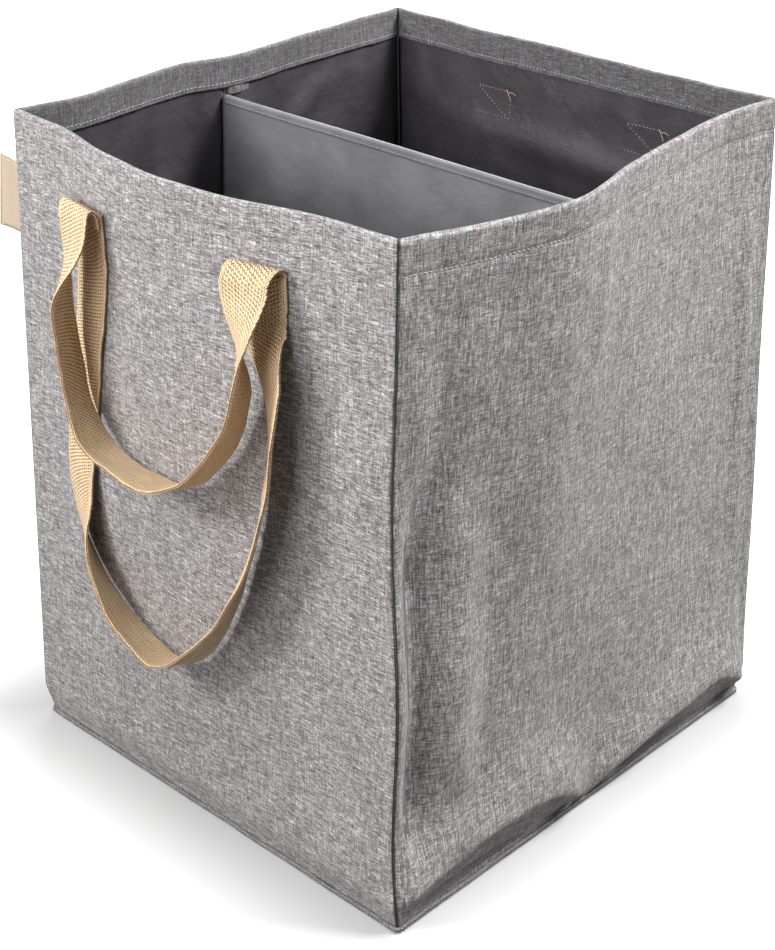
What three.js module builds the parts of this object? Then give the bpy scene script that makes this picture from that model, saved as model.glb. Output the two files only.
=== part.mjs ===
// A soft laundry hamper with two bins: four padded cloth walls sewn to a cloth base, a padded divider,
// and on the front and the back one ring of webbing whose two loops are the short and the long handle.
// Millimetres, +Z up. The origin is on the floor under the middle of the base, and the front wall faces -Y.
import * as THREE from "three";

// Overall sizes. The walls lean in a little, so the rim's corners stand closer than the base's.
const baseWidth = 400;
const baseDepth = 420;
const height = 516;
const taperShare = 0.045;

// Thicknesses of the layers, and the gap that separate pieces keep.
const clothThick = 1;
const foamThick = 2;
const liningThick = 0.6;
const boardThick = 3;
const clearance = 0.3;

// The hem: the outer cloth turned in over the rim and stitched down inside.
const hemDepth = 24;
const rimRadius = 1.2;

// The lowest part of each wall tucks in to the bottom seam, which a folded edge of cloth stands around.
const tuckDepth = 5;
const tuckHeight = 30;
const seamHeight = 5;
const seamThick = 2.2;

// The divider stands a little in front of the middle and ends just under the hem.
const dividerOffset = 8;
const dividerTop = height - hemDepth - 5;
const bindingHeight = 10;
const tabWidth = 20;
const tabHeight = 6;

// Bias binding on the seam allowances that stand into the bins' corners.
const cornerBindingWidth = 5;
const cornerBindingThick = 1.8;

// The webbing of the handles, and the sewn patches that hold it.
const webbingWidth = 38;
const webbingThick = 2.2;
const anchorSpread = 86;
const patchBottom = height - 67;
const patchHeight = 24;
const foldRadius = 6;
const foldStandoff = 10.4;
const longTop = patchBottom - 4;
const shortDropHeight = 180;
const longDropHeight = 304;
const shortProud = 5;
const longProud = 2;
const strapGap = 0.5;

// The folded tag in the seam of the front wall's left corner.
const tagHeight = 54;
const tagReach = 21;
const tagTop = height - 40;
const tagThick = 0.5;
const tagFoldGap = 0.6;

// Grid counts of the soft surfaces.
const tuckRows = 2;
const wallRows = 6;
const wallColumns = 12;
const floorCells = 4;
const shortSteps = 44;
const longSteps = 60;

// What the part looks like until it is dressed.
const melange = new THREE.MeshStandardMaterial({ color: 0x8b898a, roughness: 0.95, metalness: 0 });
const foamGrey = new THREE.MeshStandardMaterial({ color: 0xd8d8d6, roughness: 0.9, metalness: 0 });
const liningGrey = new THREE.MeshStandardMaterial({ color: 0x4e4c50, roughness: 0.6, metalness: 0 });
const dividerGrey = new THREE.MeshStandardMaterial({ color: 0x696a6e, roughness: 0.6, metalness: 0 });
const boardGrey = new THREE.MeshStandardMaterial({ color: 0x8a7a66, roughness: 0.85, metalness: 0 });
const cotton = new THREE.MeshStandardMaterial({ color: 0xd7b482, roughness: 0.95, metalness: 0 });
const tagBeige = new THREE.MeshStandardMaterial({ color: 0xcdb9a0, roughness: 0.9, metalness: 0 });

// Depths of the layers under the outer face of a wall.
const foamOuter = clothThick + clearance;
const foamInner = foamOuter + foamThick;
const liningOuter = foamInner + clearance;
const liningInner = liningOuter + liningThick;
const hemOuter = liningInner + clearance + clearance;
const hemInner = hemOuter + clothThick;
const mitreGap = clearance / Math.SQRT2;

// Heights of the layers over the floor.
const boardBottom = clothThick + clearance;
const boardTop = boardBottom + boardThick;
const floorBottom = boardTop + clearance;
const floorTop = floorBottom + liningThick;
const foamTop = height - clothThick - clearance;

// The walls, in turn round the hamper from the front. Each works in its own turned group, where x runs
// along the wall and -y points out of it. bulge is how far the rim bows out of the straight line, and
// bowShares say where along the wall, from -1 to 1, how much of that shows. cornerDent draws in the
// corner where the wall starts, and troughDepth is a soft vertical dent beside that corner.
const walls = [
  {
    name: "front",
    alongHalf: baseWidth / 2,
    outHalf: baseDepth / 2,
    bulge: 27,
    bowShares: [[-1, 0], [-0.7, 0.2], [-0.36, 0.7], [0, 1], [0.25, 0.86], [0.62, 0.25], [1, 0]],
    cornerDent: 0,
    troughDepth: 0,
  },
  {
    name: "right",
    alongHalf: baseDepth / 2,
    outHalf: baseWidth / 2,
    bulge: 32,
    bowShares: [
      [-1, 0], [-0.72, 0.55], [-0.36, 1], [-0.15, 0.8], [0.03, 0.5], [0.32, 0.18], [0.7, -0.12], [1, 0],
    ],
    cornerDent: 6,
    troughDepth: 5,
  },
  {
    name: "back",
    alongHalf: baseWidth / 2,
    outHalf: baseDepth / 2,
    bulge: -4,
    bowShares: [[-1, 0], [-0.5, 0.9], [0, 0.5], [0.45, 1], [1, 0]],
    cornerDent: 2,
    troughDepth: 0,
  },
  {
    name: "left",
    alongHalf: baseDepth / 2,
    outHalf: baseWidth / 2,
    bulge: -8,
    bowShares: [[-1, 0], [-0.55, 0.3], [-0.1, 1], [0.03, 0.8], [0.2, -0.3], [0.5, 0.3], [0.8, 1], [1, 0]],
    cornerDent: 3,
    troughDepth: 0,
  },
];
walls.forEach((wall, k) => {
  wall.turn = (k * Math.PI) / 2;
  wall.next = walls[(k + 1) % walls.length];
});

// How the bow fades from the rim to the base, how the dents come and go with the height, and where the
// trough lies along its wall.
const riseShares = [[0, 0], [0.2, 0.12], [0.5, 0.42], [0.8, 0.8], [1, 1]];
const dentShares = [[0, 0], [0.14, 0.75], [0.36, 0.1], [0.62, 1], [0.85, 0.3], [1, 0]];
const troughHeightShares = [[0, 0], [0.2, 0.4], [0.55, 1], [0.8, 0.5], [1, 0]];
const troughAlongShares = [[-1, 0], [-0.78, 1], [-0.5, 0.1], [-0.3, 0], [1, 0]];
const dentReachShare = 0.7;

const smooth = (x) => x * x * (3 - 2 * x);
const clamp01 = (x) => Math.min(1, Math.max(0, x));

// A smooth curve through rows of [place, value]: cubic pieces whose slope at a row is that of the line
// between the rows on either side of it.
function curveThrough(rows, at) {
  const last = rows.length - 1;
  const slopeAt = (k) => {
    const before = rows[Math.max(0, k - 1)];
    const after = rows[Math.min(last, k + 1)];
    return (after[1] - before[1]) / (after[0] - before[0]);
  };
  let k = 0;
  while (k < last - 1 && at > rows[k + 1][0]) k += 1;
  const span = rows[k + 1][0] - rows[k][0];
  const t = clamp01((at - rows[k][0]) / span);
  const rise = rows[k + 1][1] - rows[k][1];
  const bend = t * (1 - t) * (slopeAt(k) * span * (1 - t) - slopeAt(k + 1) * span * t + rise * (2 * t - 1));
  return rows[k][1] + rise * t + bend;
}

// How far the walls have tucked in at a height, and how far a wall's starting corner is drawn in.
const tuckAt = (z) => tuckDepth * (1 - smooth(clamp01(z / tuckHeight)));
const dentAt = (wall, z) => wall.cornerDent * curveThrough(dentShares, z / height);

// Half the length of a wall, and the distance of its outer face from the middle, at a place on it.
const alongHalfAt = (wall, z) => wall.alongHalf * (1 - (taperShare * z) / height) - tuckAt(z);
function outAt(wall, along, z) {
  const share = along / alongHalfAt(wall, z);
  const flat = wall.outHalf * (1 - (taperShare * z) / height) - tuckAt(z);
  const bow = wall.bulge * curveThrough(wall.bowShares, share) * curveThrough(riseShares, z / height);
  const dent = dentAt(wall, z) * (1 - smooth(clamp01((1 + share) / dentReachShare)));
  const trough = curveThrough(troughAlongShares, share) * curveThrough(troughHeightShares, z / height);
  return flat + bow - dent - wall.troughDepth * trough;
}

// A point of a wall's layer at a share of its half length, kept inside the limits given and then inside
// the mitres of the two corners.
function layerPoint(wall, share, z, depth, low = -Infinity, high = Infinity) {
  const reach = alongHalfAt(wall, z) - depth - mitreGap;
  const along = Math.min(high, Math.max(low, share * alongHalfAt(wall, z)));
  const mitred = Math.min(reach - dentAt(wall.next, z), Math.max(-reach, along));
  return new THREE.Vector3(mitred, depth - outAt(wall, along, z), z);
}

const stepsBetween = (from, to, count) =>
  Array.from({ length: count + 1 }, (_, k) => from + ((to - from) * k) / count);

// Turns a geometry's faces to point out, whichever way its outline was drawn.
function facingOut(geometry) {
  const at = geometry.getAttribute("position");
  const index = geometry.getIndex();
  const [a, b, c] = [new THREE.Vector3(), new THREE.Vector3(), new THREE.Vector3()];
  let volume = 0;
  for (let k = 0; k < index.count; k += 3) {
    a.fromBufferAttribute(at, index.getX(k));
    b.fromBufferAttribute(at, index.getX(k + 1));
    c.fromBufferAttribute(at, index.getX(k + 2));
    volume += a.dot(b.cross(c));
  }
  if (volume < 0) {
    for (let k = 0; k < index.count; k += 3) {
      const held = index.getX(k + 1);
      index.setX(k + 1, index.getX(k + 2));
      index.setX(k + 2, held);
    }
  }
  geometry.computeVertexNormals();
  return geometry;
}

// A closed solid from rings of points, one ring for each station. A ring runs up one side of a strip and
// back down its other side with as many points, so the end faces are ladders between the two sides. The
// quads of both sides are split along the same diagonal, so that layers on a bowed wall lie parallel.
function loft(rings) {
  const size = rings[0].length;
  const positions = rings.flat().flatMap((p) => [p.x, p.y, p.z]);
  const faces = [];
  for (let i = 0; i < rings.length - 1; i += 1) {
    for (let j = 0; j < size; j += 1) {
      const here = i * size + j;
      const beside = i * size + ((j + 1) % size);
      if (j < size / 2) faces.push(here, beside, here + size, beside, beside + size, here + size);
      else faces.push(here, beside, beside + size, here, beside + size, here + size);
    }
  }
  const end = (rings.length - 1) * size;
  for (let j = 0; j < size / 2 - 1; j += 1) {
    const [a, b, c, d] = [j, j + 1, size - 2 - j, size - 1 - j];
    faces.push(a, c, b, a, d, c, end + a, end + b, end + c, end + a, end + c, end + d);
  }
  const geometry = new THREE.BufferGeometry();
  geometry.setAttribute("position", new THREE.Float32BufferAttribute(positions, 3));
  geometry.setIndex(faces);
  return facingOut(geometry);
}

// An outline from its two sides, each drawn the same way with as many points.
const strip = (side, otherSide) => [...side, ...otherSide.reverse()].map(([x, z]) => new THREE.Vector2(x, z));

// The heights at which every layer has a row of points, so that their facets lie parallel.
const sharedHeights = [
  ...stepsBetween(0, tuckHeight, tuckRows).slice(1),
  ...stepsBetween(tuckHeight, height - hemDepth, wallRows).slice(1),
];
const rowsBetween = (low, high) => {
  const between = sharedHeights.filter((z) => z > low && z < high - clothThick);
  return [low, ...between, high];
};

// The outline of a flat layer between two places, with rows of points up each side.
function layerOutline(outer, inner, low, high) {
  const rows = rowsBetween(low, high);
  return strip(rows.map((z) => [outer, z]), rows.map((z) => [inner, z]));
}

// The outer cloth's outline: up the outside, over the rounded rim and down inside as the hem.
function hemmedOutline() {
  const under = height - clothThick;
  const bevel = rimRadius * (1 - Math.SQRT1_2);
  return strip(
    [
      ...rowsBetween(boardBottom, height - rimRadius).map((z) => [0, z]),
      [bevel, height - bevel],
      [rimRadius, height],
      [hemInner - rimRadius, height],
      [hemInner - bevel, height - bevel],
      [hemInner, height - rimRadius],
      [hemInner, height - hemDepth],
    ],
    [
      ...rowsBetween(boardBottom, under).map((z) => [clothThick, z]),
      ...stepsBetween(clothThick, hemOuter, 5).slice(1).map((x) => [x, under]),
      [hemOuter, height - hemDepth],
    ],
  );
}

const named = (name, geometry, material) => {
  const mesh = new THREE.Mesh(geometry, material);
  mesh.name = name;
  return mesh;
};

// The shares along a wall at which every layer has a column of points: one of them lies at the divider.
const dividerShare = (wall) => (wall.dividerPlace ?? 0) / wall.alongHalf;
const nearShares = (wall) => stepsBetween(-1, dividerShare(wall), wallColumns / 2);
const farShares = (wall) => stepsBetween(dividerShare(wall), 1, wallColumns / 2);

// A wall layer between two mitred corners.
function fullLayer(wall, outline) {
  const shares = [...nearShares(wall), ...farShares(wall).slice(1)];
  return loft(shares.map((share) => outline.map((p) => layerPoint(wall, share, p.y, p.x))));
}

// Half a side wall's layer, from one mitred corner to the gap that it keeps from the divider's plane.
function halfLayer(wall, outline, side, gap) {
  const [low, high] = side < 0 ? [-Infinity, wall.dividerPlace - gap] : [wall.dividerPlace + gap, Infinity];
  const shares = side < 0 ? nearShares(wall) : farShares(wall);
  return loft(shares.map((share) => outline.map((p) => layerPoint(wall, share, p.y, p.x, low, high))));
}

const hamper = new THREE.Group();
const place = (group, ...meshes) => group.add(...meshes);

// Half the thickness of the divider with its two skins, and of the binding over them.
const coreHalf = foamThick / 2;
const skinHalf = coreHalf + clearance + liningThick;
const bindingHalf = skinHalf + clearance + liningThick;

const wallGroups = Object.fromEntries(
  walls.map((wall) => {
    const group = new THREE.Group();
    group.rotation.z = wall.turn;
    hamper.add(group);
    return [wall.name, group];
  }),
);
const wallNamed = Object.fromEntries(walls.map((wall) => [wall.name, wall]));

// In the right wall's group the divider's plane lies at -dividerOffset, and in the left wall's at +.
wallNamed.right.dividerPlace = -dividerOffset;
wallNamed.left.dividerPlace = dividerOffset;

for (const wall of walls) {
  const group = wallGroups[wall.name];
  const foam = layerOutline(foamOuter, foamInner, boardBottom, foamTop);
  const lining = layerOutline(liningOuter, liningInner, floorBottom, foamTop);
  place(group, named(`outer_wall_${wall.name}`, fullLayer(wall, hemmedOutline()), melange));
  if (wall.dividerPlace) {
    for (const side of [-1, 1]) {
      const bin = (side < 0) === (wall.name === "right") ? "front_bin" : "back_bin";
      const foamHalf = halfLayer(wall, foam, side, clearance / 2);
      const liningHalf = halfLayer(wall, lining, side, skinHalf + clearance);
      place(group, named(`stiffener_${wall.name}_${bin}`, foamHalf, foamGrey));
      place(group, named(`lining_${wall.name}_${bin}`, liningHalf, liningGrey));
    }
  } else {
    place(group, named(`stiffener_${wall.name}`, fullLayer(wall, foam), foamGrey));
    place(group, named(`lining_${wall.name}`, fullLayer(wall, lining), liningGrey));
  }
}

// Where a side wall's layer stands in the hamper's own frame, at a distance behind the middle.
function sideX(name, y, z, depth) {
  const right = name === "right";
  return (right ? 1 : -1) * (outAt(wallNamed[name], right ? y : -y, z) - depth);
}
const frontY = (x, z, depth) => -(outAt(wallNamed.front, x, z) - depth);
const backY = (x, z, depth) => outAt(wallNamed.back, -x, z) - depth;

// A sheet between the two side walls, in a plane across the hamper: its outline is in y and height, and
// its ends keep a depth under the walls' faces.
function acrossSheet(outline, depth) {
  const rings = stepsBetween(0, 1, wallColumns / 2).map((share) =>
    outline.map((p) => {
      const left = sideX("left", p.x, p.y, depth);
      const right = sideX("right", p.x, p.y, depth);
      return new THREE.Vector3(left + share * (right - left), p.x, p.y);
    }),
  );
  return loft(rings);
}

// The divider: a padded core between two skins, with a binding folded over the three top edges.
const middle = -dividerOffset;
const sheetTop = dividerTop - liningThick - clearance - clearance;
const coreOutline = layerOutline(middle - coreHalf, middle + coreHalf, boardBottom, sheetTop);
place(hamper, named("divider_core", acrossSheet(coreOutline, liningOuter), foamGrey));
for (const [name, side] of [["divider_skin_front", -1], ["divider_skin_back", 1]]) {
  const near = middle + side * (coreHalf + clearance);
  const outline = layerOutline(near, middle + side * skinHalf, boardBottom, sheetTop);
  place(hamper, named(name, acrossSheet(outline, liningOuter), dividerGrey));
}
const bindingLow = dividerTop - bindingHeight;
const bindingInner = bindingHalf - liningThick;
const bindingEaves = sheetTop + clearance;
const bindingOutline = strip(
  [
    [middle - bindingHalf, bindingLow],
    [middle - bindingHalf, bindingEaves],
    [middle, dividerTop],
    [middle + bindingHalf, bindingEaves],
    [middle + bindingHalf, bindingLow],
  ],
  [
    [middle - bindingInner, bindingLow],
    [middle - bindingInner, bindingEaves],
    [middle, dividerTop - liningThick],
    [middle + bindingInner, bindingEaves],
    [middle + bindingInner, bindingLow],
  ],
);
place(hamper, named("divider_top_binding", acrossSheet(bindingOutline, hemOuter), dividerGrey));

// A tab of the outer cloth, under the hem at each end of the divider, behind its top edge.
for (const name of ["left", "right"]) {
  const low = height - hemDepth - clearance - tabHeight;
  const high = height - hemDepth - clearance;
  const start = middle + bindingHalf + clearance;
  const outline = strip([[hemOuter, low], [hemOuter, high]], [[hemInner, low], [hemInner, high]]);
  const rings = stepsBetween(start, start + tabWidth, 2).map((y) =>
    outline.map((p) => new THREE.Vector3(sideX(name, y, p.y, p.x), y, p.y)),
  );
  place(hamper, named(`divider_tab_${name}`, loft(rings), melange));
}

// A floor sheet of one bin, or of both: its edges keep a depth under the walls' faces.
function floorSheet(low, high, depth, yFrom, yTo) {
  const shares = stepsBetween(0, 1, floorCells);
  const outline = strip(shares.map((share) => [share, low]), shares.map((share) => [share, high]));
  const rings = shares.map((step) =>
    outline.map((p) => {
      const along = (step + step - 1) * alongHalfAt(wallNamed.front, p.y);
      const front = yFrom ?? frontY(along, p.y, depth);
      const back = yTo ?? backY(along, p.y, depth);
      const y = front + p.x * (back - front);
      const left = sideX("left", y, p.y, depth);
      return new THREE.Vector3(left + step * (sideX("right", y, p.y, depth) - left), y, p.y);
    }),
  );
  return loft(rings);
}
const boardDepth = foamInner + clearance;
const binEdges = {
  front_bin: [undefined, middle - skinHalf - clearance],
  back_bin: [middle + skinHalf + clearance, undefined],
};
place(hamper, named("outer_base", floorSheet(0, clothThick, 0), melange));
for (const [bin, [from, to]] of Object.entries(binEdges)) {
  const board = floorSheet(boardBottom, boardTop, boardDepth, from, to);
  place(hamper, named(`base_board_${bin}`, board, boardGrey));
  const liningDepth = liningInner + clearance;
  const floor = floorSheet(floorBottom, floorTop, liningDepth, from, to);
  place(hamper, named(`lining_floor_${bin}`, floor, liningGrey));
}

// The bottom seam: the edges of the walls and the base turned out together, as a low rib round the foot.
function roundedRectangle(halfWidth, halfDepth, radius) {
  const path = new THREE.Shape();
  path.moveTo(-halfWidth + radius, -halfDepth);
  path.lineTo(halfWidth - radius, -halfDepth);
  path.absarc(halfWidth - radius, -halfDepth + radius, radius, -Math.PI / 2, 0);
  path.lineTo(halfWidth, halfDepth - radius);
  path.absarc(halfWidth - radius, halfDepth - radius, radius, 0, Math.PI / 2);
  path.lineTo(-halfWidth + radius, halfDepth);
  path.absarc(-halfWidth + radius, halfDepth - radius, radius, Math.PI / 2, Math.PI);
  path.lineTo(-halfWidth, -halfDepth + radius);
  path.absarc(-halfWidth + radius, -halfDepth + radius, radius, Math.PI, (3 * Math.PI) / 2);
  return path;
}
const footGap = clearance + clearance;
const footHalfWidth = baseWidth / 2 - tuckAt(seamHeight) + footGap;
const footHalfDepth = baseDepth / 2 - tuckAt(seamHeight) + footGap;
const seamShape = roundedRectangle(footHalfWidth + seamThick, footHalfDepth + seamThick, seamThick);
seamShape.holes.push(roundedRectangle(footHalfWidth, footHalfDepth, clearance));
const seamGeometry = new THREE.ExtrudeGeometry(
  seamShape,
  { depth: seamHeight, bevelEnabled: false, curveSegments: 3 },
);
place(hamper, named("bottom_seam", seamGeometry, melange));

// The bound seam allowance that stands diagonally into each corner of the bins, from the floor to the hem.
const cornerBindingTop = height - hemDepth - clearance;
for (const wall of walls) {
  const name = `corner_binding_${wall.name}_${wall.next.name}`;
  const rings = stepsBetween(floorTop + clearance, cornerBindingTop, wallRows).map((z) => {
    const half = alongHalfAt(wall, z) - liningInner - dentAt(wall.next, z);
    const corner = new THREE.Vector3(half, -(outAt(wall, half, z) - liningInner), z);
    const inward = new THREE.Vector3(-Math.SQRT1_2, Math.SQRT1_2, 0);
    const aside = new THREE.Vector3(Math.SQRT1_2, Math.SQRT1_2, 0);
    const near = cornerBindingThick / 2 + clearance + clearance;
    const far = near + cornerBindingWidth;
    return [[near, -1], [far, -1], [far, 1], [near, 1]].map(([out, side]) => {
      const spread = (side * cornerBindingThick) / 2;
      return corner.clone().addScaledVector(inward, out).addScaledVector(aside, spread);
    });
  });
  place(wallGroups[wall.name], named(name, loft(rings), dividerGrey));
}

// A length of webbing through stations. Each holds the edge that lies nearer the wall, the direction
// across to the other edge, and the direction along.
function webbing(stations) {
  const half = webbingThick / 2;
  const side = [[0, 0], [half, half], [webbingWidth - half, half]];
  const otherSide = [[webbingWidth, 0], [webbingWidth - half, -half], [half, -half]];
  const rings = stations.map(({ edge, across, ahead }) => {
    const through = new THREE.Vector3().crossVectors(ahead, across).normalize();
    return [...side, ...otherSide].map(([wide, thick]) =>
      edge.clone().addScaledVector(across, wide).addScaledVector(through, thick),
    );
  });
  return loft(rings);
}

// The loops' routes. A row gives the wall-side edge as a share of anchorSpread from the middle and as a
// share of the drop below the top, how far it stands off as a share of the fold's or the loop's standoff,
// and the turn of the webbing: 0 lies with its free edge to the middle of the loop, 1 stands straight out
// and 2 lies with its free edge away from the middle.
const shortRouteShares = [
  [-1.2, 0, 1, 0],
  [-1.2, 0.03, 1, 0],
  [-1.195, 0.1, 0.98, 0.05],
  [-1.2, 0.22, 0.75, 0.5],
  [-1.25, 0.42, 0.42, 0.56],
  [-1.27, 0.62, 0.15, 0.56],
  [-1.13, 0.85, 0.04, 0.6],
  [-0.83, 0.98, 0, 0.7],
  [-0.3, 1.01, 0, 0.78],
  [0.12, 0.99, 0, 0.82],
  [0.48, 0.87, 0, 0.9],
  [0.76, 0.68, 0.05, 1.0],
  [0.92, 0.46, 0.25, 1.12],
  [0.88, 0.23, 0.7, 1.4],
  [0.79, 0.1, 0.97, 1.93],
  [0.78, 0.03, 1, 2],
  [0.78, 0, 1, 2],
];
const longRouteShares = [
  [-0.78, 0, 0, 2],
  [-0.781, 0.035, 0, 2],
  [-0.83, 0.11, 0, 2],
  [-0.98, 0.3, 0, 2],
  [-1.1, 0.52, 0, 1.99],
  [-1.2, 0.75, 0.1, 1.9],
  [-1.2, 0.88, 0.4, 1.66],
  [-0.98, 0.965, 1, 1.25],
  [-0.6, 1, 1, 0.92],
  [-0.1, 1.005, 1, 0.75],
  [0.28, 0.93, 1, 0.88],
  [0.6, 0.77, 1, 1.12],
  [0.82, 0.6, 1, 1.3],
  [0.98, 0.42, 1, 1.4],
  [1.04, 0.27, 0.8, 1.43],
  [0.98, 0.17, 0.4, 1.62],
  [0.84, 0.09, 0, 1.92],
  [0.781, 0.035, 0, 2],
  [0.78, 0, 0, 2],
];

// The distance of a wall's outer face as its facets run, between the shared rows and columns.
function facetAt(wall, along, z) {
  const columns = [...nearShares(wall), ...farShares(wall).slice(1)];
  const share = along / alongHalfAt(wall, z);
  const column = columns.findLastIndex((edge, k) => k < columns.length - 1 && edge <= share);
  const row = sharedHeights.findLastIndex((edge, k) => k < sharedHeights.length - 1 && edge <= z);
  const corner = (c, r) => outAt(wall, columns[c] * alongHalfAt(wall, sharedHeights[r]), sharedHeights[r]);
  const beside = (share - columns[column]) / (columns[column + 1] - columns[column]);
  const above = (z - sharedHeights[row]) / (sharedHeights[row + 1] - sharedHeights[row]);
  const upperNear = corner(column, row + 1);
  const lowerFar = corner(column + 1, row);
  if (beside + above < 1) {
    const lowerNear = corner(column, row);
    return lowerNear + beside * (lowerFar - lowerNear) + above * (upperNear - lowerNear);
  }
  const upperFar = corner(column + 1, row + 1);
  return upperFar + (1 - beside) * (upperNear - upperFar) + (1 - above) * (lowerFar - upperFar);
}

// The direction straight out of a wall, from the slope of its face over a short reach.
function wallNormal(wall, along, z) {
  const reach = webbingWidth / 2;
  const slopeAlong = (outAt(wall, along + reach, z) - outAt(wall, along - reach, z)) / webbingWidth;
  const slopeUp = (outAt(wall, along, z + reach) - outAt(wall, along, z - reach)) / webbingWidth;
  return new THREE.Vector3(-slopeAlong, -1, -slopeUp).normalize();
}

// Fits a smooth curve through a loop's rows and gives its stations on a wall.
function routeStations(wall, shares, top, drop, proudFar, proudNear, count) {
  const edge = ([side, down, off]) => {
    const x = side * anchorSpread;
    const z = top - down * drop;
    const proud = proudNear + off * (proudFar - proudNear);
    return new THREE.Vector3(x, -(facetAt(wall, x, z) + proud), z);
  };
  const path = new THREE.CatmullRomCurve3(shares.map(edge), false, "centripetal");
  const turns = shares.map((row, k) => [k / (shares.length - 1), row[3]]);
  return stepsBetween(0, 1, count).map((t) => {
    const point = path.getPoint(t);
    const ahead = path.getTangent(t);
    const outward = wallNormal(wall, point.x, point.z);
    outward.addScaledVector(ahead, -outward.dot(ahead)).normalize();
    const angle = (curveThrough(turns, t) * Math.PI) / 2;
    const inward = new THREE.Vector3().crossVectors(outward, ahead);
    inward.multiplyScalar(Math.sign(Math.cos(angle)));
    const far = point.clone().addScaledVector(inward, webbingWidth);
    const proud = -point.y - facetAt(wall, point.x, point.z);
    far.y = -facetAt(wall, far.x, far.z) - proud;
    const lying = far.sub(point).normalize();
    const across = lying.multiplyScalar(Math.abs(Math.cos(angle))).addScaledVector(outward, Math.sin(angle));
    return { edge: point, across: across.normalize(), ahead };
  });
}

// The short loop starts and ends in a fold over the top of its patch: half a turn about the fold's axis.
function foldStations(start, side) {
  const axis = start.edge.clone();
  axis.y += foldRadius;
  const across = start.across;
  return stepsBetween(Math.PI, Math.PI / 8, 7).map((angle) => {
    const edge = axis.clone();
    edge.y -= foldRadius * Math.cos(angle);
    edge.z += foldRadius * Math.sin(angle);
    const ahead = new THREE.Vector3(0, Math.sin(angle), Math.cos(angle)).multiplyScalar(-side);
    return { edge, across, ahead };
  });
}

// The patch that is sewn flat on the wall, following its bow.
function anchorPatch(wall, centre) {
  const gap = clearance;
  const patchTop = patchBottom + patchHeight;
  const face = -gap - webbingThick;
  const outline = strip([[-gap, patchBottom], [-gap, patchTop]], [[face, patchBottom], [face, patchTop]]);
  const alongs = stepsBetween(centre - webbingWidth / 2, centre + webbingWidth / 2, 4);
  return loft(alongs.map((x) => outline.map((p) => new THREE.Vector3(x, p.x - facetAt(wall, x, p.y), p.y))));
}

const shortTop = patchBottom + patchHeight - clothThick;
for (const name of ["front", "back"]) {
  const wall = wallNamed[name];
  const group = wallGroups[name];
  const foldProud = foldStandoff + foldRadius;
  const shortMiddle = routeStations(
    wall, shortRouteShares, shortTop, shortDropHeight, foldProud, shortProud, shortSteps,
  );
  const startFold = foldStations(shortMiddle[0], 1);
  const endFold = foldStations(shortMiddle[shortMiddle.length - 1], -1).reverse();
  const seat = strapGap + webbingThick / 2;
  const longStations = routeStations(
    wall, longRouteShares, longTop, longDropHeight, longProud + webbingThick, seat, longSteps,
  );
  place(group, named(`handle_${name}_short`, webbing([...startFold, ...shortMiddle, ...endFold]), cotton));
  place(group, named(`handle_${name}_long`, webbing(longStations), cotton));
  place(group, named(`anchor_patch_${name}_left`, anchorPatch(wall, -anchorSpread), cotton));
  place(group, named(`anchor_patch_${name}_right`, anchorPatch(wall, anchorSpread), cotton));
}

// The tag: a strip folded in two, its ends caught in the seam of the front wall's left corner.
const tagHalf = tagThick + tagFoldGap / 2;
const tagBend = tagReach - tagHalf;
const tagInside = tagFoldGap / 2;
const tagOutline = strip(
  [[0, tagHalf], [tagBend, tagHalf], [tagReach, 0], [tagBend, -tagHalf], [0, -tagHalf]],
  [[0, tagInside], [tagBend, tagInside], [tagReach - tagThick, 0], [tagBend, -tagInside], [0, -tagInside]],
);
const tagRings = stepsBetween(tagTop - tagHeight, tagTop, 4).map((z) => {
  const corner = layerPoint(wallNamed.front, -1, z, 0);
  return tagOutline.map((p) => new THREE.Vector3(corner.x - clearance - p.x, corner.y + p.y, z));
});
place(hamper, named("tag", loft(tagRings), tagBeige));

export default hamper;
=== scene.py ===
import math

import bmesh
import bpy
import numpy as np
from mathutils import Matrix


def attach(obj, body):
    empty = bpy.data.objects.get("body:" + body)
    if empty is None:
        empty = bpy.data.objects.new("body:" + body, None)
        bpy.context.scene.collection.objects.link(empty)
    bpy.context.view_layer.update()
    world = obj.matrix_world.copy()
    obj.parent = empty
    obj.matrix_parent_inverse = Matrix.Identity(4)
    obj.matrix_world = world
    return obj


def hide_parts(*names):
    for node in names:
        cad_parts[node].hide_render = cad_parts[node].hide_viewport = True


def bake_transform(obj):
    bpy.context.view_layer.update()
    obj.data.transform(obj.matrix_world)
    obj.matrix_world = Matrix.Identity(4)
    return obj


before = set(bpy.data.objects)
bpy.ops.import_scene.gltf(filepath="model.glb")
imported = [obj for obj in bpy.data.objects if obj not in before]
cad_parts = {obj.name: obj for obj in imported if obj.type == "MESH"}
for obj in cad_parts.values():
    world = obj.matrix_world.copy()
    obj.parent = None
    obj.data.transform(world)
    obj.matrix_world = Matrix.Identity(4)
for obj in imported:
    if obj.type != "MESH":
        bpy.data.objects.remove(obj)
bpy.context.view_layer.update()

# The camera. It stands off the hamper's front right corner and above it, as a person looks down at a bag on
# the floor, with a long lens. Because it looks down, the vertical seams run together towards the floor.
EYE = (0.9389, -0.9906, 0.9367)
AZIMUTH, ELEVATION = math.radians(43.73), math.radians(24.63)
camera_data = bpy.data.cameras.new("camera")
camera_data.lens = 74.27
camera_data.sensor_width = 36.0
camera_data.shift_x = -0.0021
camera_data.shift_y = -0.12
camera = bpy.data.objects.new("camera", camera_data)
camera.location = EYE
camera.rotation_mode = "XYZ"
camera.rotation_euler = (math.pi / 2 - ELEVATION, 0.0, AZIMUTH)
bpy.context.scene.collection.objects.link(camera)
bpy.context.scene.camera = camera

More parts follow.
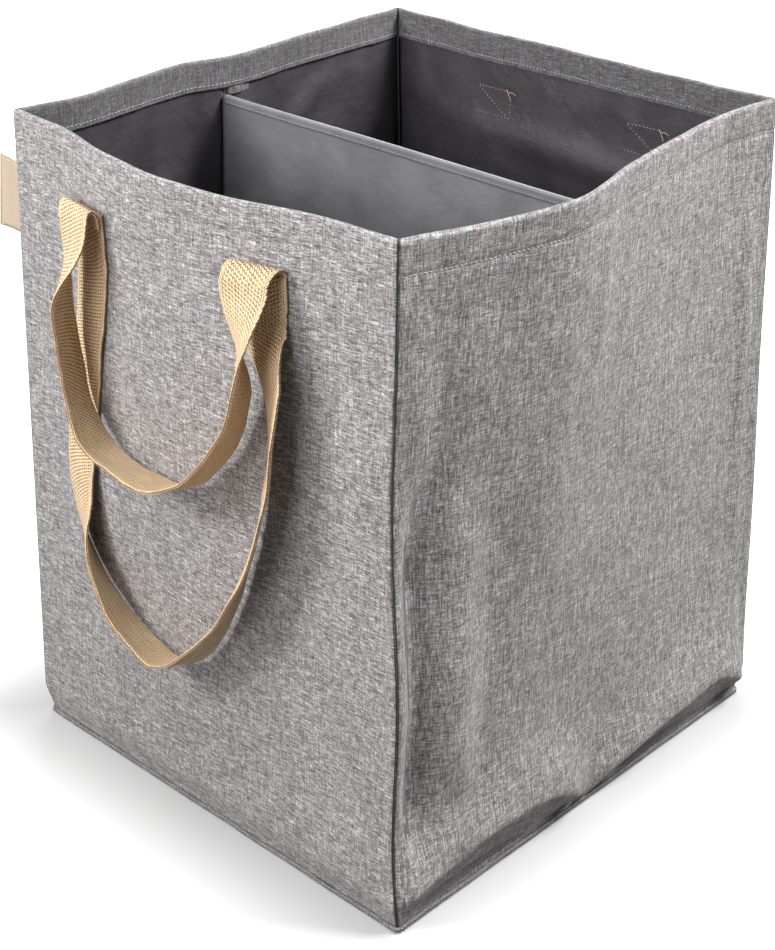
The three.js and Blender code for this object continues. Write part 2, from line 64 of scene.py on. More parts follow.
# The four outer walls: heathered woven polyester, sewn edge to edge at the corners and hemmed over the rim.
# They bow where the padding pushes them out, draw in at the corner seams and tuck in above the bottom seam.
# Sizes are in mm, and become metres where points are put together.
MM = 0.001
BASE_WIDTH, BASE_DEPTH, HEIGHT, TAPER = 400.0, 420.0, 516.0, 0.045
CLOTH, TUCK, TUCK_HEIGHT = 1.0, 5.0, 30.0
WALLS = [
    {"name": "front", "half": BASE_WIDTH / 2, "out": BASE_DEPTH / 2, "bulge": 27.0, "dent": 0.0, "trough": 0.0,
     "bow": [(-1, 0), (-0.7, 0.2), (-0.36, 0.7), (0, 1), (0.25, 0.86), (0.62, 0.25), (1, 0)]},
    {"name": "right", "half": BASE_DEPTH / 2, "out": BASE_WIDTH / 2, "bulge": 32.0, "dent": 6.0, "trough": 5.0,
     "bow": [(-1, 0), (-0.72, 0.55), (-0.36, 1), (-0.15, 0.8), (0.03, 0.5), (0.32, 0.18), (0.7, -0.12),
             (1, 0)]},
    {"name": "back", "half": BASE_WIDTH / 2, "out": BASE_DEPTH / 2, "bulge": -4.0, "dent": 2.0, "trough": 0.0,
     "bow": [(-1, 0), (-0.5, 0.9), (0, 0.5), (0.45, 1), (1, 0)]},
    {"name": "left", "half": BASE_DEPTH / 2, "out": BASE_WIDTH / 2, "bulge": -8.0, "dent": 3.0, "trough": 0.0,
     "bow": [(-1, 0), (-0.55, 0.3), (-0.1, 1), (0.03, 0.8), (0.2, -0.3), (0.5, 0.3), (0.8, 1), (1, 0)]},
]
RISE = [(0, 0), (0.2, 0.12), (0.5, 0.42), (0.8, 0.8), (1, 1)]
DENT_RISE = [(0, 0), (0.14, 0.75), (0.36, 0.1), (0.62, 1), (0.85, 0.3), (1, 0)]
TROUGH_RISE = [(0, 0), (0.2, 0.4), (0.55, 1), (0.8, 0.5), (1, 0)]
TROUGH_ALONG = [(-1, 0), (-0.78, 1), (-0.5, 0.1), (-0.3, 0), (1, 0)]
for number, wall in enumerate(WALLS):
    wall["turn"] = number
    wall["next"] = WALLS[(number + 1) % 4]
WALL = {wall["name"]: wall for wall in WALLS}


def curve_through(rows, at):
    """Smooth curve through (place, value) rows: a cubic between two rows whose slope at each row is that of
    the line between the rows on either side of it."""
    place, value = (np.array(column, float) for column in zip(*rows))
    at = np.asarray(at, float)
    before = np.maximum(np.arange(len(place)) - 1, 0)
    after = np.minimum(np.arange(len(place)) + 1, len(place) - 1)
    slope = (value[after] - value[before]) / (place[after] - place[before])
    k = np.clip(np.searchsorted(place, at, side="right") - 1, 0, len(place) - 2)
    span = place[k + 1] - place[k]
    t = np.clip((at - place[k]) / span, 0, 1)
    rise = value[k + 1] - value[k]
    bend = t * (1 - t) * (slope[k] * span * (1 - t) - slope[k + 1] * span * t + rise * (2 * t - 1))
    return value[k] + rise * t + bend


def ease(x):
    """0 below 0, 1 above 1, and 3x^2 - 2x^3 between."""
    x = np.clip(x, 0, 1)
    return x * x * (3 - 2 * x)


def bell(x):
    """1 at 0, falling away on both sides as e to the power of minus x squared."""
    return np.exp(-(x**2))


def tuck_at(z):
    """How far a wall has drawn in at height z: the whole tuck at the floor, easing to none at its top."""
    return TUCK * (1 - ease(z / TUCK_HEIGHT))


def dent_at(wall, z):
    """How far a wall's starting corner is drawn in at height z: its dent times a curve of the height."""
    return wall["dent"] * curve_through(DENT_RISE, z / HEIGHT)


def half_at(wall, z):
    """Half a wall's length at height z: its length at the floor less the taper and the tuck."""
    return wall["half"] * (1 - TAPER * z / HEIGHT) - tuck_at(z)


def out_at(wall, along, z):
    """Distance of a wall's outer face from the middle: the flat wall, plus its bow along times its bow up,
    less the corner's dent, which fades along the wall, less a soft vertical trough."""
    share = along / half_at(wall, z)
    flat = wall["out"] * (1 - TAPER * z / HEIGHT) - tuck_at(z)
    bow = wall["bulge"] * curve_through(wall["bow"], share) * curve_through(RISE, z / HEIGHT)
    dent = dent_at(wall, z) * (1 - ease((1 + share) / 0.7))
    trough = wall["trough"] * curve_through(TROUGH_ALONG, share) * curve_through(TROUGH_RISE, z / HEIGHT)
    return flat + bow - dent - trough


def ripple(seed, along, z, wave, height):
    """Soft unevenness: the mean of eight cosine waves of random direction and phase, each with a length
    between 0.7 and 1.6 of the given wave, scaled to the given height."""
    draw = np.random.default_rng(seed)
    total = 0.0
    for _ in range(8):
        angle = draw.uniform(0, math.pi)
        phase = draw.uniform(0, 2 * math.pi)
        length = wave * draw.uniform(0.7, 1.6)
        total = total + np.cos(2 * math.pi * (along * math.cos(angle) + z * math.sin(angle)) / length + phase)
    return height * total / 8


def crease(along, z, start, end, width, height):
    """A fold of cloth along a line: a bell of the distance from the line, with a shallower hollow on either
    side of it, fading towards the line's two ends."""
    start, end = np.array(start, float), np.array(end, float)
    run = end - start
    share = ((along - start[0]) * run[0] + (z - start[1]) * run[1]) / (run @ run)
    near = np.clip(share, 0, 1)
    distance = np.hypot(along - start[0] - near * run[0], z - start[1] - near * run[1])
    hollow_share, hollow_spread, end_fade, end_rest = 0.45, 2.4, 3, 0.15
    shape = bell(distance / width) - hollow_share * bell(distance / (hollow_spread * width))
    return height * shape * ease(share * end_fade + end_rest) * ease((1 - share) * end_fade + end_rest)


# The row of stitches that holds the hem.
STITCH_Z = HEIGHT - 24.0
# Folds of the outer cloth, by wall: start and end as (distance along the wall, height), width and height in mm.
OUTER_FOLDS = {
    "front": [((150, 500), (170, 300), 14, 1.2), ((-150, 60), (-60, 28), 16, 1.5),
              ((60, 40), (185, 75), 18, 2.0)],
    "right": [((-196, 130), (-172, 330), 13, 2.6), ((-20, 514), (-34, 330), 9, 2.6),
              ((-190, 60), (-60, 34), 15, 2.8), ((60, 470), (30, 250), 26, 1.6),
              ((110, 200), (70, 380), 30, 1.5), ((-9, 12), (-26, 62), 6, -1.6),
              ((-4, 12), (14, 70), 7, -1.2), ((-189, 30), (-183, 360), 14, -14.0),
              ((-153, 50), (-146, 350), 20, 11.0), ((-172, 240), (-166, 470), 12, -4.0),
              ((-186, 30), (-150, 110), 13, -3.5), ((-200, 30), (-120, 120), 12, 1.8),
              ((186, 60), (176, 500), 7, 2.4)],
    "back": [((-80, 470), (-95, 260), 22, 1.5), ((90, 60), (-60, 40), 18, 1.8)],
    "left": [((40, 500), (20, 320), 16, 1.8), ((-120, 90), (20, 46), 18, 1.8)],
}
# The ridge above the bottom seam, by wall: its height along the wall, in mm, and how far it stands out. Both
# side walls are caught down to the seam where the divider's foot is sewn in.
RIDGES = {
    "front": ([(-200, 12), (-60, 20), (80, 24), (200, 14)], 1.6),
    "right": ([(-208, 28), (-180, 34), (-145, 39), (-116, 46), (-83, 46), (-52, 41), (-24, 27), (-8, 13),
               (10, 11), (30, 21), (50, 29), (76, 34), (111, 37), (142, 41), (165, 40), (189, 28),
               (208, 12)], 10.0),
    "back": ([(-200, 14), (-90, 30), (60, 22), (200, 14)], 2.2),
    "left": ([(-208, 14), (-150, 30), (-70, 34), (-10, 24), (8, 11), (26, 18), (90, 32), (160, 36),
              (208, 16)], 3.8),
}
FULL_RIDGE = 30.0


def ridge_relief(wall, along, z):
    """The cloth above the bottom seam: it stands out to a ridge and from there draws in straight to the seam,
    a little hollow, and comes back softly above. A ridge lower than a full one stands out less."""
    rows, stand = RIDGES[wall["name"]]
    ridge = curve_through(rows, np.clip(along, rows[0][0], rows[-1][0]))
    stand = stand * np.minimum(ridge / FULL_RIDGE, 1.0)
    share = np.clip(z / ridge, 0, 1)
    under = stand * (share - 0.3 * np.sin(math.pi * share))
    over = stand * bell(np.maximum(z - ridge, 0) / (20 + 0.5 * ridge))
    return np.where(z < ridge, under, over)


def outer_relief(wall, along, z):
    """Small relief of the outer cloth, in mm outwards: wide and fine ripples, the listed folds, puckers beside
    the corner seams, the ridge at the foot, and the groove that the hem's stitches pull in. All but the
    groove fades out at the corners, and all but the ridge and the groove at the floor and the rim."""
    share = np.abs(along) / half_at(wall, z)
    turn = wall["turn"]
    relief = ripple(11 + turn, along, z, wave=150, height=2.2)
    relief = relief + ripple(31 + turn, along, z, wave=52, height=0.7)
    for start, end, width, height in OUTER_FOLDS[wall["name"]]:
        relief = relief + crease(along, z, start, end, width, height)
    pucker = ripple(51 + turn, along * 0.4, z, wave=30, height=1.0) * bell((1 - share) / 0.09)
    between = ease((1 - share) * 9) * ease(z / 20) * ease((HEIGHT - z) / 30)
    ridge = ridge_relief(wall, along, z) * ease((1 - share) * 14)
    groove = bell((z - STITCH_Z) / 1.8) * (0.6 + ripple(61 + turn, along, 0 * z, wave=9, height=0.5))
    return (relief + pucker) * between + ridge - groove


def corner_ditch(wall, along, z):
    """Depth of the seam ditch at a wall's two ends: a narrow valley beside a low swell, both gone some 8 mm
    from the corner."""
    left = half_at(wall, z) - np.abs(along)
    return 1.5 * bell(left / 1.5) - 0.5 * bell((left - 4.5) / 2.5)


def turned(wall, x, y):
    """A place of the front wall's frame, turned by quarter turns to a wall's side of the bag."""
    for _ in range(wall["turn"]):
        x, y = -y, x
    return x, y


def in_metres(*values):
    """Points, or places on cloth, put together from their values in mm."""
    return np.stack(np.broadcast_arrays(*values), -1) * MM


def wall_point(wall, share, z, depth, relief=0.0, low=None, high=None):
    """Point of a wall's layer: share runs from -1 to 1 between the mitres of the corners, or between the
    distances low and high, depth is measured in from the outer face and relief out of it. The wall is then
    turned to its side of the bag."""
    half = half_at(wall, z)
    dent = dent_at(wall["next"], z)
    mix = (share + 1) / 2
    start = depth - half if low is None else low
    end = half - depth - dent if high is None else high
    face_start = -half if low is None else low
    face_end = half - dent if high is None else high
    out = out_at(wall, face_start + mix * (face_end - face_start), z) - depth + relief
    return in_metres(*turned(wall, start + mix * (end - start), -out), z)


def graded(count, ends, half):
    """Shares from -1 to 1 for a wall's columns: close together within some distances of both corners, given
    in mm, and evenly spaced between."""
    close = 1 - np.array(ends) / half
    middle = np.linspace(-close[-1], close[-1], count)
    return np.concatenate([-close[:-1], middle, close[:-1][::-1]])


def grid_object(name, parts, merge=0.0):
    """A mesh from parts, each (points, uv, form): a grid of points becomes quads. The rows close on
    themselves, so their uv has one column more. In the form "bar" the two end rows are closed as well, by a
    ladder of quads between the two sides of the row. Points within a distance are merged, and the faces are
    turned to point out."""
    verts, faces, uvs, offset = [], [], [], 0
    for points, uv, form in parts:
        rows, columns = points.shape[:2]
        i, j = np.meshgrid(np.arange(rows - 1), np.arange(columns), indexing="ij")
        k = (j + 1) % columns
        quads = [np.stack([i * columns + j, (i + 1) * columns + j, (i + 1) * columns + k, i * columns + k], -1)]
        corners = [np.stack([uv[i, j], uv[i + 1, j], uv[i + 1, j + 1], uv[i, j + 1]], -2)]
        if form == "bar":
            step = np.arange(columns // 2 - 1)
            rung = np.stack([step, step + 1, columns - 2 - step, columns - 1 - step], -1)
            for row, order in ((0, [0, 1, 2, 3]), (rows - 1, [3, 2, 1, 0])):
                quads.append(row * columns + rung[:, order])
                corners.append(uv[row, rung[:, order]])
        verts.append(points.reshape(-1, 3))
        faces += [quad.reshape(-1, 4) + offset for quad in quads]
        uvs += [corner.reshape(-1, 2) for corner in corners]
        offset += rows * columns
    mesh = bpy.data.meshes.new(name)
    mesh.from_pydata(np.concatenate(verts), [], np.concatenate(faces))
    layer = mesh.uv_layers.new(name="cloth")
    layer.data.foreach_set("uv", np.concatenate(uvs).astype(np.float32).ravel())
    shell = bmesh.new()
    shell.from_mesh(mesh)
    if merge:
        bmesh.ops.remove_doubles(shell, verts=shell.verts, dist=merge)
    bmesh.ops.dissolve_degenerate(shell, edges=shell.edges, dist=1e-7)
    bmesh.ops.recalc_face_normals(shell, faces=shell.faces)
    shell.to_mesh(mesh)
    shell.free()
    mesh.polygons.foreach_set("use_smooth", [True] * len(mesh.polygons))
    piece = bpy.data.objects.new(name, mesh)
    bpy.context.scene.collection.objects.link(piece)
    return piece


# The rim: the cloth comes up the outside on the side rows, goes over in half a circle and hangs inside as the
# hem down to its folded edge. From there it turns up again behind the hem, under the rim and down the wall.
HEM_DEPTH, RIM_HALF = 24.0, 2.7
HEM_LOW = HEIGHT - HEM_DEPTH
SIDE_ROWS = np.concatenate([
    [1.3, 3, 5, 7.5], np.linspace(10, 60, 21), np.linspace(66, 483, 74),
    [487, 489.5, 491, 492, 493, 494.5, 497, 501, 505, 508.5, 511.5]])


def rim_arc(inset, count):
    """Half a circle over the rim from the outside to the inside, drawn in by an inset."""
    turn = np.linspace(math.pi, 0, count)
    return RIM_HALF + (RIM_HALF - inset) * np.cos(turn), HEIGHT - RIM_HALF + (RIM_HALF - inset) * np.sin(turn)


over_x, over_z = rim_arc(0.0, 9)
under_x, under_z = rim_arc(CLOTH * 0.9, 5)
hem_rows = np.linspace(HEIGHT - RIM_HALF, HEM_LOW + 1.2, 8)[1:]
hem_back_rows = np.linspace(HEM_LOW + 0.4, HEIGHT - RIM_HALF - 3, 4)
back_rows = np.linspace(HEIGHT - RIM_HALF, 1.3, 24)[1:]
HEM_FACE = 2 * RIM_HALF
profile_depth = np.concatenate([
    np.zeros(len(SIDE_ROWS)), over_x, np.full(len(hem_rows), HEM_FACE), [HEM_FACE - 0.15, HEM_FACE - 0.6],
    np.full(len(hem_back_rows), HEM_FACE - CLOTH), under_x[::-1], np.full(len(back_rows), CLOTH)])
profile_z = np.concatenate([
    SIDE_ROWS, over_z, hem_rows, [HEM_LOW + 0.3, HEM_LOW], hem_back_rows, under_z[::-1], back_rows])
profile_run = np.concatenate([[0], np.cumsum(np.hypot(np.diff(profile_depth), np.diff(profile_z)))])
profile_run = np.append(profile_run, profile_run[-1] + CLOTH)
# In the cloth's uv each wall starts at a round distance, so that a material can tell the walls apart.
WALL_STEP = 500.0
# Distances from a corner seam at which the wall's columns crowd.
CORNER_COLUMNS = [0, 0.4, 0.9, 1.5, 2.2, 3.2, 4.6, 7, 10]


def hem_slack(wall, along, z, depth):
    """How far the free lower part of the hem hangs off the lining, as soft scallops."""
    inside = ease((depth - 3) / 2) * ease((HEIGHT - 6 - z) / 16)
    return inside * (0.5 + ripple(71 + wall["turn"], along, z * 0.2, wave=34, height=0.9))


def shell_point(wall, share, z, depth, weight=1.0, off=0.0):
    """Point of the outer cloth's skin: its relief times a weight, its corner ditch, the slack of the hem and
    the rim's wander up and down, moved out by a further distance."""
    along = share * half_at(wall, z)
    relief = outer_relief(wall, along, z) * weight - corner_ditch(wall, along, z) * ease((4 - depth) / 3)
    wander = ripple(91 + wall["turn"], along, 0 * along, wave=70, height=1.0)
    lift = wander * ease((z - 480) / 36) * ease((1 - np.abs(share)) * 12)
    return wall_point(wall, share, z + lift, depth, relief - hem_slack(wall, along, z, depth) + off)


def outer_shell():
    """Each wall's cloth is its profile carried along the wall on columns that crowd at the corners; the four
    panels share their corner columns, so that the shell closes round the bag. From the hem's edge on, the
    cloth lies behind other cloth and takes nine tenths of the relief."""
    parts = []
    hidden_from = len(SIDE_ROWS) + len(over_x) + len(hem_rows)
    weight = np.where(np.arange(len(profile_z)) >= hidden_from, 0.9, 1.0)
    for wall in WALLS:
        share = graded(84, CORNER_COLUMNS, wall["half"])[:, None]
        points = shell_point(wall, share, profile_z[None, :], profile_depth[None, :], weight)
        run = share * wall["half"] + wall["half"] + WALL_STEP * wall["turn"]
        parts.append((points, in_metres(run, profile_run[None, :]), "ring"))
    return grid_object("outer_cloth", parts, merge=1e-5)


outer_cloth = outer_shell()
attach(outer_cloth, "bag")
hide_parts(*["outer_wall_" + wall["name"] for wall in WALLS])


class Signal:
    """What a node puts out. A sum with other signals or with numbers adds the math node that makes it."""

    def __init__(self, work, socket):
        self.work = work
        self.socket = socket

    def __add__(self, other):
        return self.work.math("ADD", self, other)

    def __sub__(self, other):
        return self.work.math("SUBTRACT", self, other)

    def __rsub__(self, other):
        return self.work.math("SUBTRACT", other, self)

    def __mul__(self, other):
        return self.work.math("MULTIPLY", self, other)

    def __truediv__(self, other):
        return self.work.math("DIVIDE", self, other)

    def __rtruediv__(self, other):
        return self.work.math("DIVIDE", other, self)

    def __abs__(self):
        return self.work.math("ABSOLUTE", self)

    def sine(self):
        return self.work.math("SINE", self)

    def fraction(self):
        return self.work.math("FRACT", self)


class Tree:
    """Adds nodes to a material's tree or to a node group."""

    def __init__(self, tree):
        self.tree = tree

    def fill(self, node, inputs):
        """Fills a node's inputs, by name or number: a signal is linked, and any other value is set."""
        for key, value in inputs.items():
            socket = node.inputs[key]
            if isinstance(value, Signal):
                self.tree.links.new(value.socket, socket)
            else:
                socket.default_value = (*value, 1) if socket.type == "RGBA" else value

    def node(self, kind, inputs=None, **settings):
        """A new node with its settings and inputs."""
        node = self.tree.nodes.new(kind)
        for name, value in settings.items():
            setattr(node, name, value)
        self.fill(node, inputs or {})
        return node

    def add(self, kind, inputs=None, output=0, **settings):
        """One output of a new node, by name or number."""
        return Signal(self, self.node(kind, inputs, **settings).outputs[output])

    def parts(self, kind, inputs=None, **settings):
        """All outputs of a new node, by name."""
        return {socket.name: Signal(self, socket) for socket in self.node(kind, inputs, **settings).outputs}

    def use(self, made):
        """The outputs of a node group, by name."""
        return self.parts("ShaderNodeGroup", node_tree=made)

    def math(self, operation, *values):
        """What a math operation makes of signals and numbers."""
        return self.add("ShaderNodeMath", dict(enumerate(values)), operation=operation)

    def spot(self, x, y, z=0.0):
        """A vector of three values."""
        return self.add("ShaderNodeCombineXYZ", {"X": x, "Y": y, "Z": z})

    def noise(self, vector, scale=1.0, detail=2.0, rough=0.5):
        """Soft noise round 0.5."""
        inputs = {"Vector": vector, "Scale": scale, "Detail": detail, "Roughness": rough}
        return self.add("ShaderNodeTexNoise", inputs)

    def span(self, value, low, high, out_low=0.0, out_high=1.0):
        """A value carried from one span to another, softly, and held at its ends."""
        inputs = {0: value, 1: low, 2: high, 3: out_low, 4: out_high}
        return self.add("ShaderNodeMapRange", inputs, interpolation_type="SMOOTHSTEP")

    def ramp(self, value, rows):
        """A colour by value, from rows of (place, (r, g, b))."""
        node = self.node("ShaderNodeValToRGB", {0: value})
        elements = node.color_ramp.elements
        while len(elements) < len(rows):
            elements.new(0.5)
        for element, (place, colour) in zip(elements, rows):
            element.position = place
            element.color = (*colour, 1)
        return Signal(self, node.outputs[0])

    def mix(self, share, first, second):
        """Two colours mixed. A Mix node's colours are its inputs 6 and 7 and its output 2."""
        return self.add("ShaderNodeMix", {0: share, 6: first, 7: second}, output=2, data_type="RGBA")

    def bump(self, height, strength, distance):
        """The surface's direction, with a relief worked into it whose height counts in the given metres."""
        return self.add("ShaderNodeBump", {"Height": height, "Strength": strength, "Distance": distance})


def group(name, outputs, inputs=()):
    """A node group with outputs and inputs given as (name, kind) and (name, kind, value): the group, its
    helper, what it is given, by name, and its output node."""
    made = bpy.data.node_groups.new(name, "ShaderNodeTree")
    for label, kind in outputs:
        made.interface.new_socket(label, in_out="OUTPUT", socket_type="NodeSocket" + kind)
    for label, kind, value in inputs:
        socket = made.interface.new_socket(label, in_out="INPUT", socket_type="NodeSocket" + kind)
        socket.default_value = value
    work = Tree(made)
    return made, work, work.parts("NodeGroupInput"), work.node("NodeGroupOutput")


def material(name):
    """An empty material with its helper and its Principled shader."""
    made = bpy.data.materials.new(name)
    made.use_nodes = True
    return made, Tree(made.node_tree), made.node_tree.nodes["Principled BSDF"]


def dress(made, *pieces):
    """Gives a material to pieces."""
    for piece in pieces:
        piece.data.materials.clear()
        piece.data.materials.append(made)


# Places on the cloth in mm, from the pieces' uv, which is in metres.
cloth_place, work, _, out = group("cloth_place", [("U", "Float"), ("V", "Float")])
uv = work.parts("ShaderNodeSeparateXYZ", {0: work.add("ShaderNodeUVMap", uv_map="cloth")})
work.fill(out, {"U": uv["X"] * 1000.0, "V": uv["Y"] * 1000.0})

# The melange: yarns that change from light to dark along their length show as short streaks, along the weft
# on the end walls and mostly along the warp on the side walls, and some of them are brownish.
GREYS = [(0.0, (0.05, 0.049, 0.053)), (0.3, (0.15, 0.142, 0.142)), (0.5, (0.26, 0.247, 0.245)),
         (0.7, (0.4, 0.398, 0.402)), (1.0, (0.72, 0.72, 0.74))]
BROWN = (0.27, 0.195, 0.17)
WEAVE_TURN = 6.3
melange, work, _, out = group("melange", [("Color", "Color"), ("Height", "Float"), ("Tone", "Float")])


def yarns(work, place, pitch, length, seed, upright):
    """A random shade for each yarn that changes slowly along it: weft yarns, or warp yarns when upright."""
    u, v = place["U"], place["V"]
    across, along = (u, v) if upright else (v, u)
    bend = work.noise(work.spot(u, v, seed), scale=0.03, detail=1.0) * 2.0
    number = work.math("FLOOR", (across + bend) / pitch)
    streak = work.spot(number * 17.31, along / length, seed)
    return work.noise(streak, detail=1.0) - 0.5


def is_side_wall(work, place):
    """1 on the two side walls' cloth and 0 on the end walls'."""
    return work.math("GREATER_THAN", (place["U"] / (2 * WALL_STEP)).fraction(), 0.45)


place = work.use(cloth_place)
u, v = place["U"], place["V"]
weft = yarns(work, place, 0.62, 5.5, 1.7, False) + yarns(work, place, 0.85, 17.0, 5.1, False) * 0.6
warp = yarns(work, place, 0.7, 7.0, 9.3, True) + yarns(work, place, 0.9, 26.0, 3.9, True) * 0.6
brown_yarns = yarns(work, place, 1.2, 5.0, 21.0, False) + yarns(work, place, 1.2, 4.0, 27.0, True)
side_wall = is_side_wall(work, place)
cloud = work.noise(work.spot(u, v, 2.0), scale=0.025, detail=3.0, rough=0.6) - 0.5
specks = work.noise(work.spot(u, v, 15.0), scale=0.9, detail=1.0) - 0.5
tone = weft * (side_wall * -0.35 + 1.1) + warp * (side_wall * 0.35 + 0.6)
tone = (cloud * 0.06 + 0.5) + (specks * 0.7 + tone)
weave = (u * WEAVE_TURN).sine() * (v * WEAVE_TURN).sine()
colour = work.mix(work.span(brown_yarns, 0.03, 0.22) * 0.35, work.ramp(tone, GREYS), BROWN)
work.fill(out, {"Color": colour, "Tone": tone, "Height": weave * 0.35 + tone * 1.1})

# The outer cloth's finish: melange with a matt skin. Along the corner seams a near-black line stands for the
# dark thread and painted shadow in the seam gap, and painted shade darkens the rim's top and the turned-in hem.
SEAM_THREAD_AND_SHADOW, HEM_PAINTED_SHADE = (0.02, 0.02, 0.022), (0.045, 0.045, 0.05)
outer_material, work, shader = material("melange_cloth")
fabric = work.use(melange)
place = work.use(cloth_place)
to_start = (place["U"] / WALL_STEP).fraction() * WALL_STEP
wall_length = is_side_wall(work, place) * (BASE_DEPTH - BASE_WIDTH) + BASE_WIDTH
from_corner = work.math("MINIMUM", to_start, abs(wall_length - to_start))
wander = work.noise(work.spot(place["V"], 0.0, 3.0), scale=0.12)
# Near-black line along each corner seam, wavering a little up the seam: dark thread and painted shadow of the
# seam gap.
seam = work.span(from_corner, 0.5, wander * 2.4 + 1.1, 0.97, 0.0)
# Painted shade: from just below the rim's top on, over the rim and down the turned-in hem, the cloth's colour
# is darkened.
rim_and_hem_painted_shade = work.span(place["V"], HEIGHT - 3, HEIGHT + 3, 0.0, 0.7)
work.fill(shader, {
    "Base Color": work.mix(seam, work.mix(rim_and_hem_painted_shade, fabric["Color"], HEM_PAINTED_SHADE), SEAM_THREAD_AND_SHADOW),
    "Normal": work.bump(fabric["Height"], strength=0.7, distance=0.00022),
    "Roughness": work.span(fabric["Tone"], 0.2, 0.8, 0.9, 0.68),
    "Specular IOR Level": 0.3,
    "Sheen Weight": 0.12,
    "Sheen Roughness": 0.5,
})
dress(outer_material, outer_cloth)

# The padding between the outer cloth and the lining: a thin sheet of felt on each wall, in halves on the two
# side walls, where the divider is sewn in between them. It gives the walls their stand.
DIVIDER_Y, CLEAR = -8.0, 0.3
DIVIDER_SIDE = {"right": DIVIDER_Y, "left": -DIVIDER_Y}
PADDING_OUTER, PADDING_INNER, PADDING_LOW, LAYERS_TOP = 1.35, 3.2, 1.4, 511.0


def follow(relief):
    """Relief of the layers behind the outer cloth: nine tenths of its rises and a little more than its dips."""
    return np.minimum(0.9 * relief, 1.06 * relief)


def layer_ring(outer, inner, low, high, rows):
    """Outline of a flat layer as (depth, height) rows: up its outer side and down its inner side."""
    z = np.linspace(low, high, rows)
    depth = np.concatenate([np.full(rows, outer), np.full(rows, inner)])
    return depth, np.concatenate([z, z[::-1]])


def ring_run(depth, z):
    """Distance along a closed outline, one place longer than the outline itself."""
    step = np.hypot(np.diff(np.append(depth, depth[0])), np.diff(np.append(z, z[0])))
    return np.concatenate([[0], np.cumsum(step)])


def wall_layer(wall, columns, outline, relief, low=None, high=None):
    """Part of a layer of one wall: the outline carried along the wall between its corners or limits."""
    depth, z = (value[None, :] for value in outline)
    share = np.linspace(-1, 1, columns)[:, None]
    half = half_at(wall, z)
    start = -half if low is None else low
    end = half if high is None else high
    along = start + (share + 1) / 2 * (end - start)
    points = wall_point(wall, share, z, depth, relief(wall, along, z), low, high)
    run = np.broadcast_to(along[:, :1] + wall["half"] + WALL_STEP * wall["turn"], (columns, depth.shape[1] + 1))
    return points, in_metres(run, ring_run(*outline)[None, :]), "bar"


def padding_relief(wall, along, z):
    """The padding lies a little under the outer cloth and follows its relief, also at the corner seams."""
    return follow(outer_relief(wall, along, z)) - 0.5 * np.abs(corner_ditch(wall, along, z))


def padding_sheets():
    """One sheet on each end wall and two on each side wall, with the divider's seam between them."""
    outline = layer_ring(PADDING_OUTER, PADDING_INNER, PADDING_LOW, LAYERS_TOP, 50)
    parts = []
    for wall in WALLS:
        place = DIVIDER_SIDE.get(wall["name"])
        limits = [(None, None)] if place is None else [(None, place - CLEAR), (place + CLEAR, None)]
        for low, high in limits:
            parts.append(wall_layer(wall, 110 // len(limits), outline, padding_relief, low, high))
    return grid_object("padding", parts)


padding = padding_sheets()
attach(padding, "bag")
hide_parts(*[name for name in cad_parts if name.startswith("stiffener_")])


def spun(name, colour, rough, scale, variation):
    """A plain finish with soft noise in its colour and a little relief."""
    made, work, shader = material(name)
    grains = work.noise(work.add("ShaderNodeTexCoord", output="Object"), scale, detail=3.0, rough=0.6)
    shades = [tuple(channel * factor for channel in colour) for factor in (1 - variation, 1 + variation)]
    work.fill(shader, {
        "Base Color": work.mix(work.span(grains, 0.3, 0.7), *shades),
        "Normal": work.bump(grains, strength=0.4, distance=0.0004),
        "Roughness": rough,
    })
    return made


dress(spun("felt", (0.1, 0.1, 0.105), 0.95, 260.0, 0.2), padding)

# The lining of each bin: one dark coated polyester panel that runs round the bin's three walls, sewn into the
# corners and hanging in soft folds, and a piece over its floor.
LINING_OUTER, LINING_INNER, FLOOR_LOW, FLOOR_TOP = 3.55, 4.15, 4.6, 5.2
DIVIDER_HALF = 2.6
LINING_FOLDS = {
    "front": [((-186, 480), (-120, 380), 10, 5.1), ((-150, 470), (-40, 440), 16, 3.2),
              ((120, 480), (80, 250), 14, 4.0), ((-60, 300), (-90, 60), 18, 4.8)],
    "right": [((-120, 480), (-140, 120), 16, 4.8), ((60, 470), (80, 200), 18, 4.8),
              ((150, 400), (110, 80), 14, 4.0)],
    "back": [((-185, 418), (150, 438), 15, 7.2), ((-60, 486), (-80, 430), 12, 3.2),
             ((110, 420), (60, 100), 20, 5.6), ((-130, 400), (-110, 90), 16, 4.8)],
    "left": [((-196, 470), (-170, 120), 10, 4.8), ((-120, 486), (-60, 440), 12, 4.2),
             ((80, 480), (60, 100), 14, 4.8), ((190, 486), (176, 60), 9, 4.8),
             ((150, 470), (110, 360), 12, 3.8)],
}


def lining_relief(wall, along, z):
    """The lining's relief, in mm outwards: it follows the padding and hangs off it, only inwards, in soft
    ripples and the listed folds, but not at the corners, the divider, the floor and under the hem."""
    away = ease((half_at(wall, z) - np.abs(along)) / 16)
    if wall["name"] in DIVIDER_SIDE:
        away = away * ease((np.abs(along - DIVIDER_SIDE[wall["name"]]) - DIVIDER_HALF) / 14)
    turn = wall["turn"]
    sag = 1.4 + ripple(111 + turn, along, z * 0.5, wave=90, height=3.4)
    sag = sag + ripple(131 + turn, along, z, wave=38, height=0.8)
    for start, end, width, height in LINING_FOLDS[wall["name"]]:
        sag = sag + crease(along, z, start, end, width, height)
    hang = np.maximum(sag, 0) * away * ease((z - 8) / 30) * ease((HEM_LOW + 2 - z) / 26)
    return follow(outer_relief(wall, along, z)) - hang


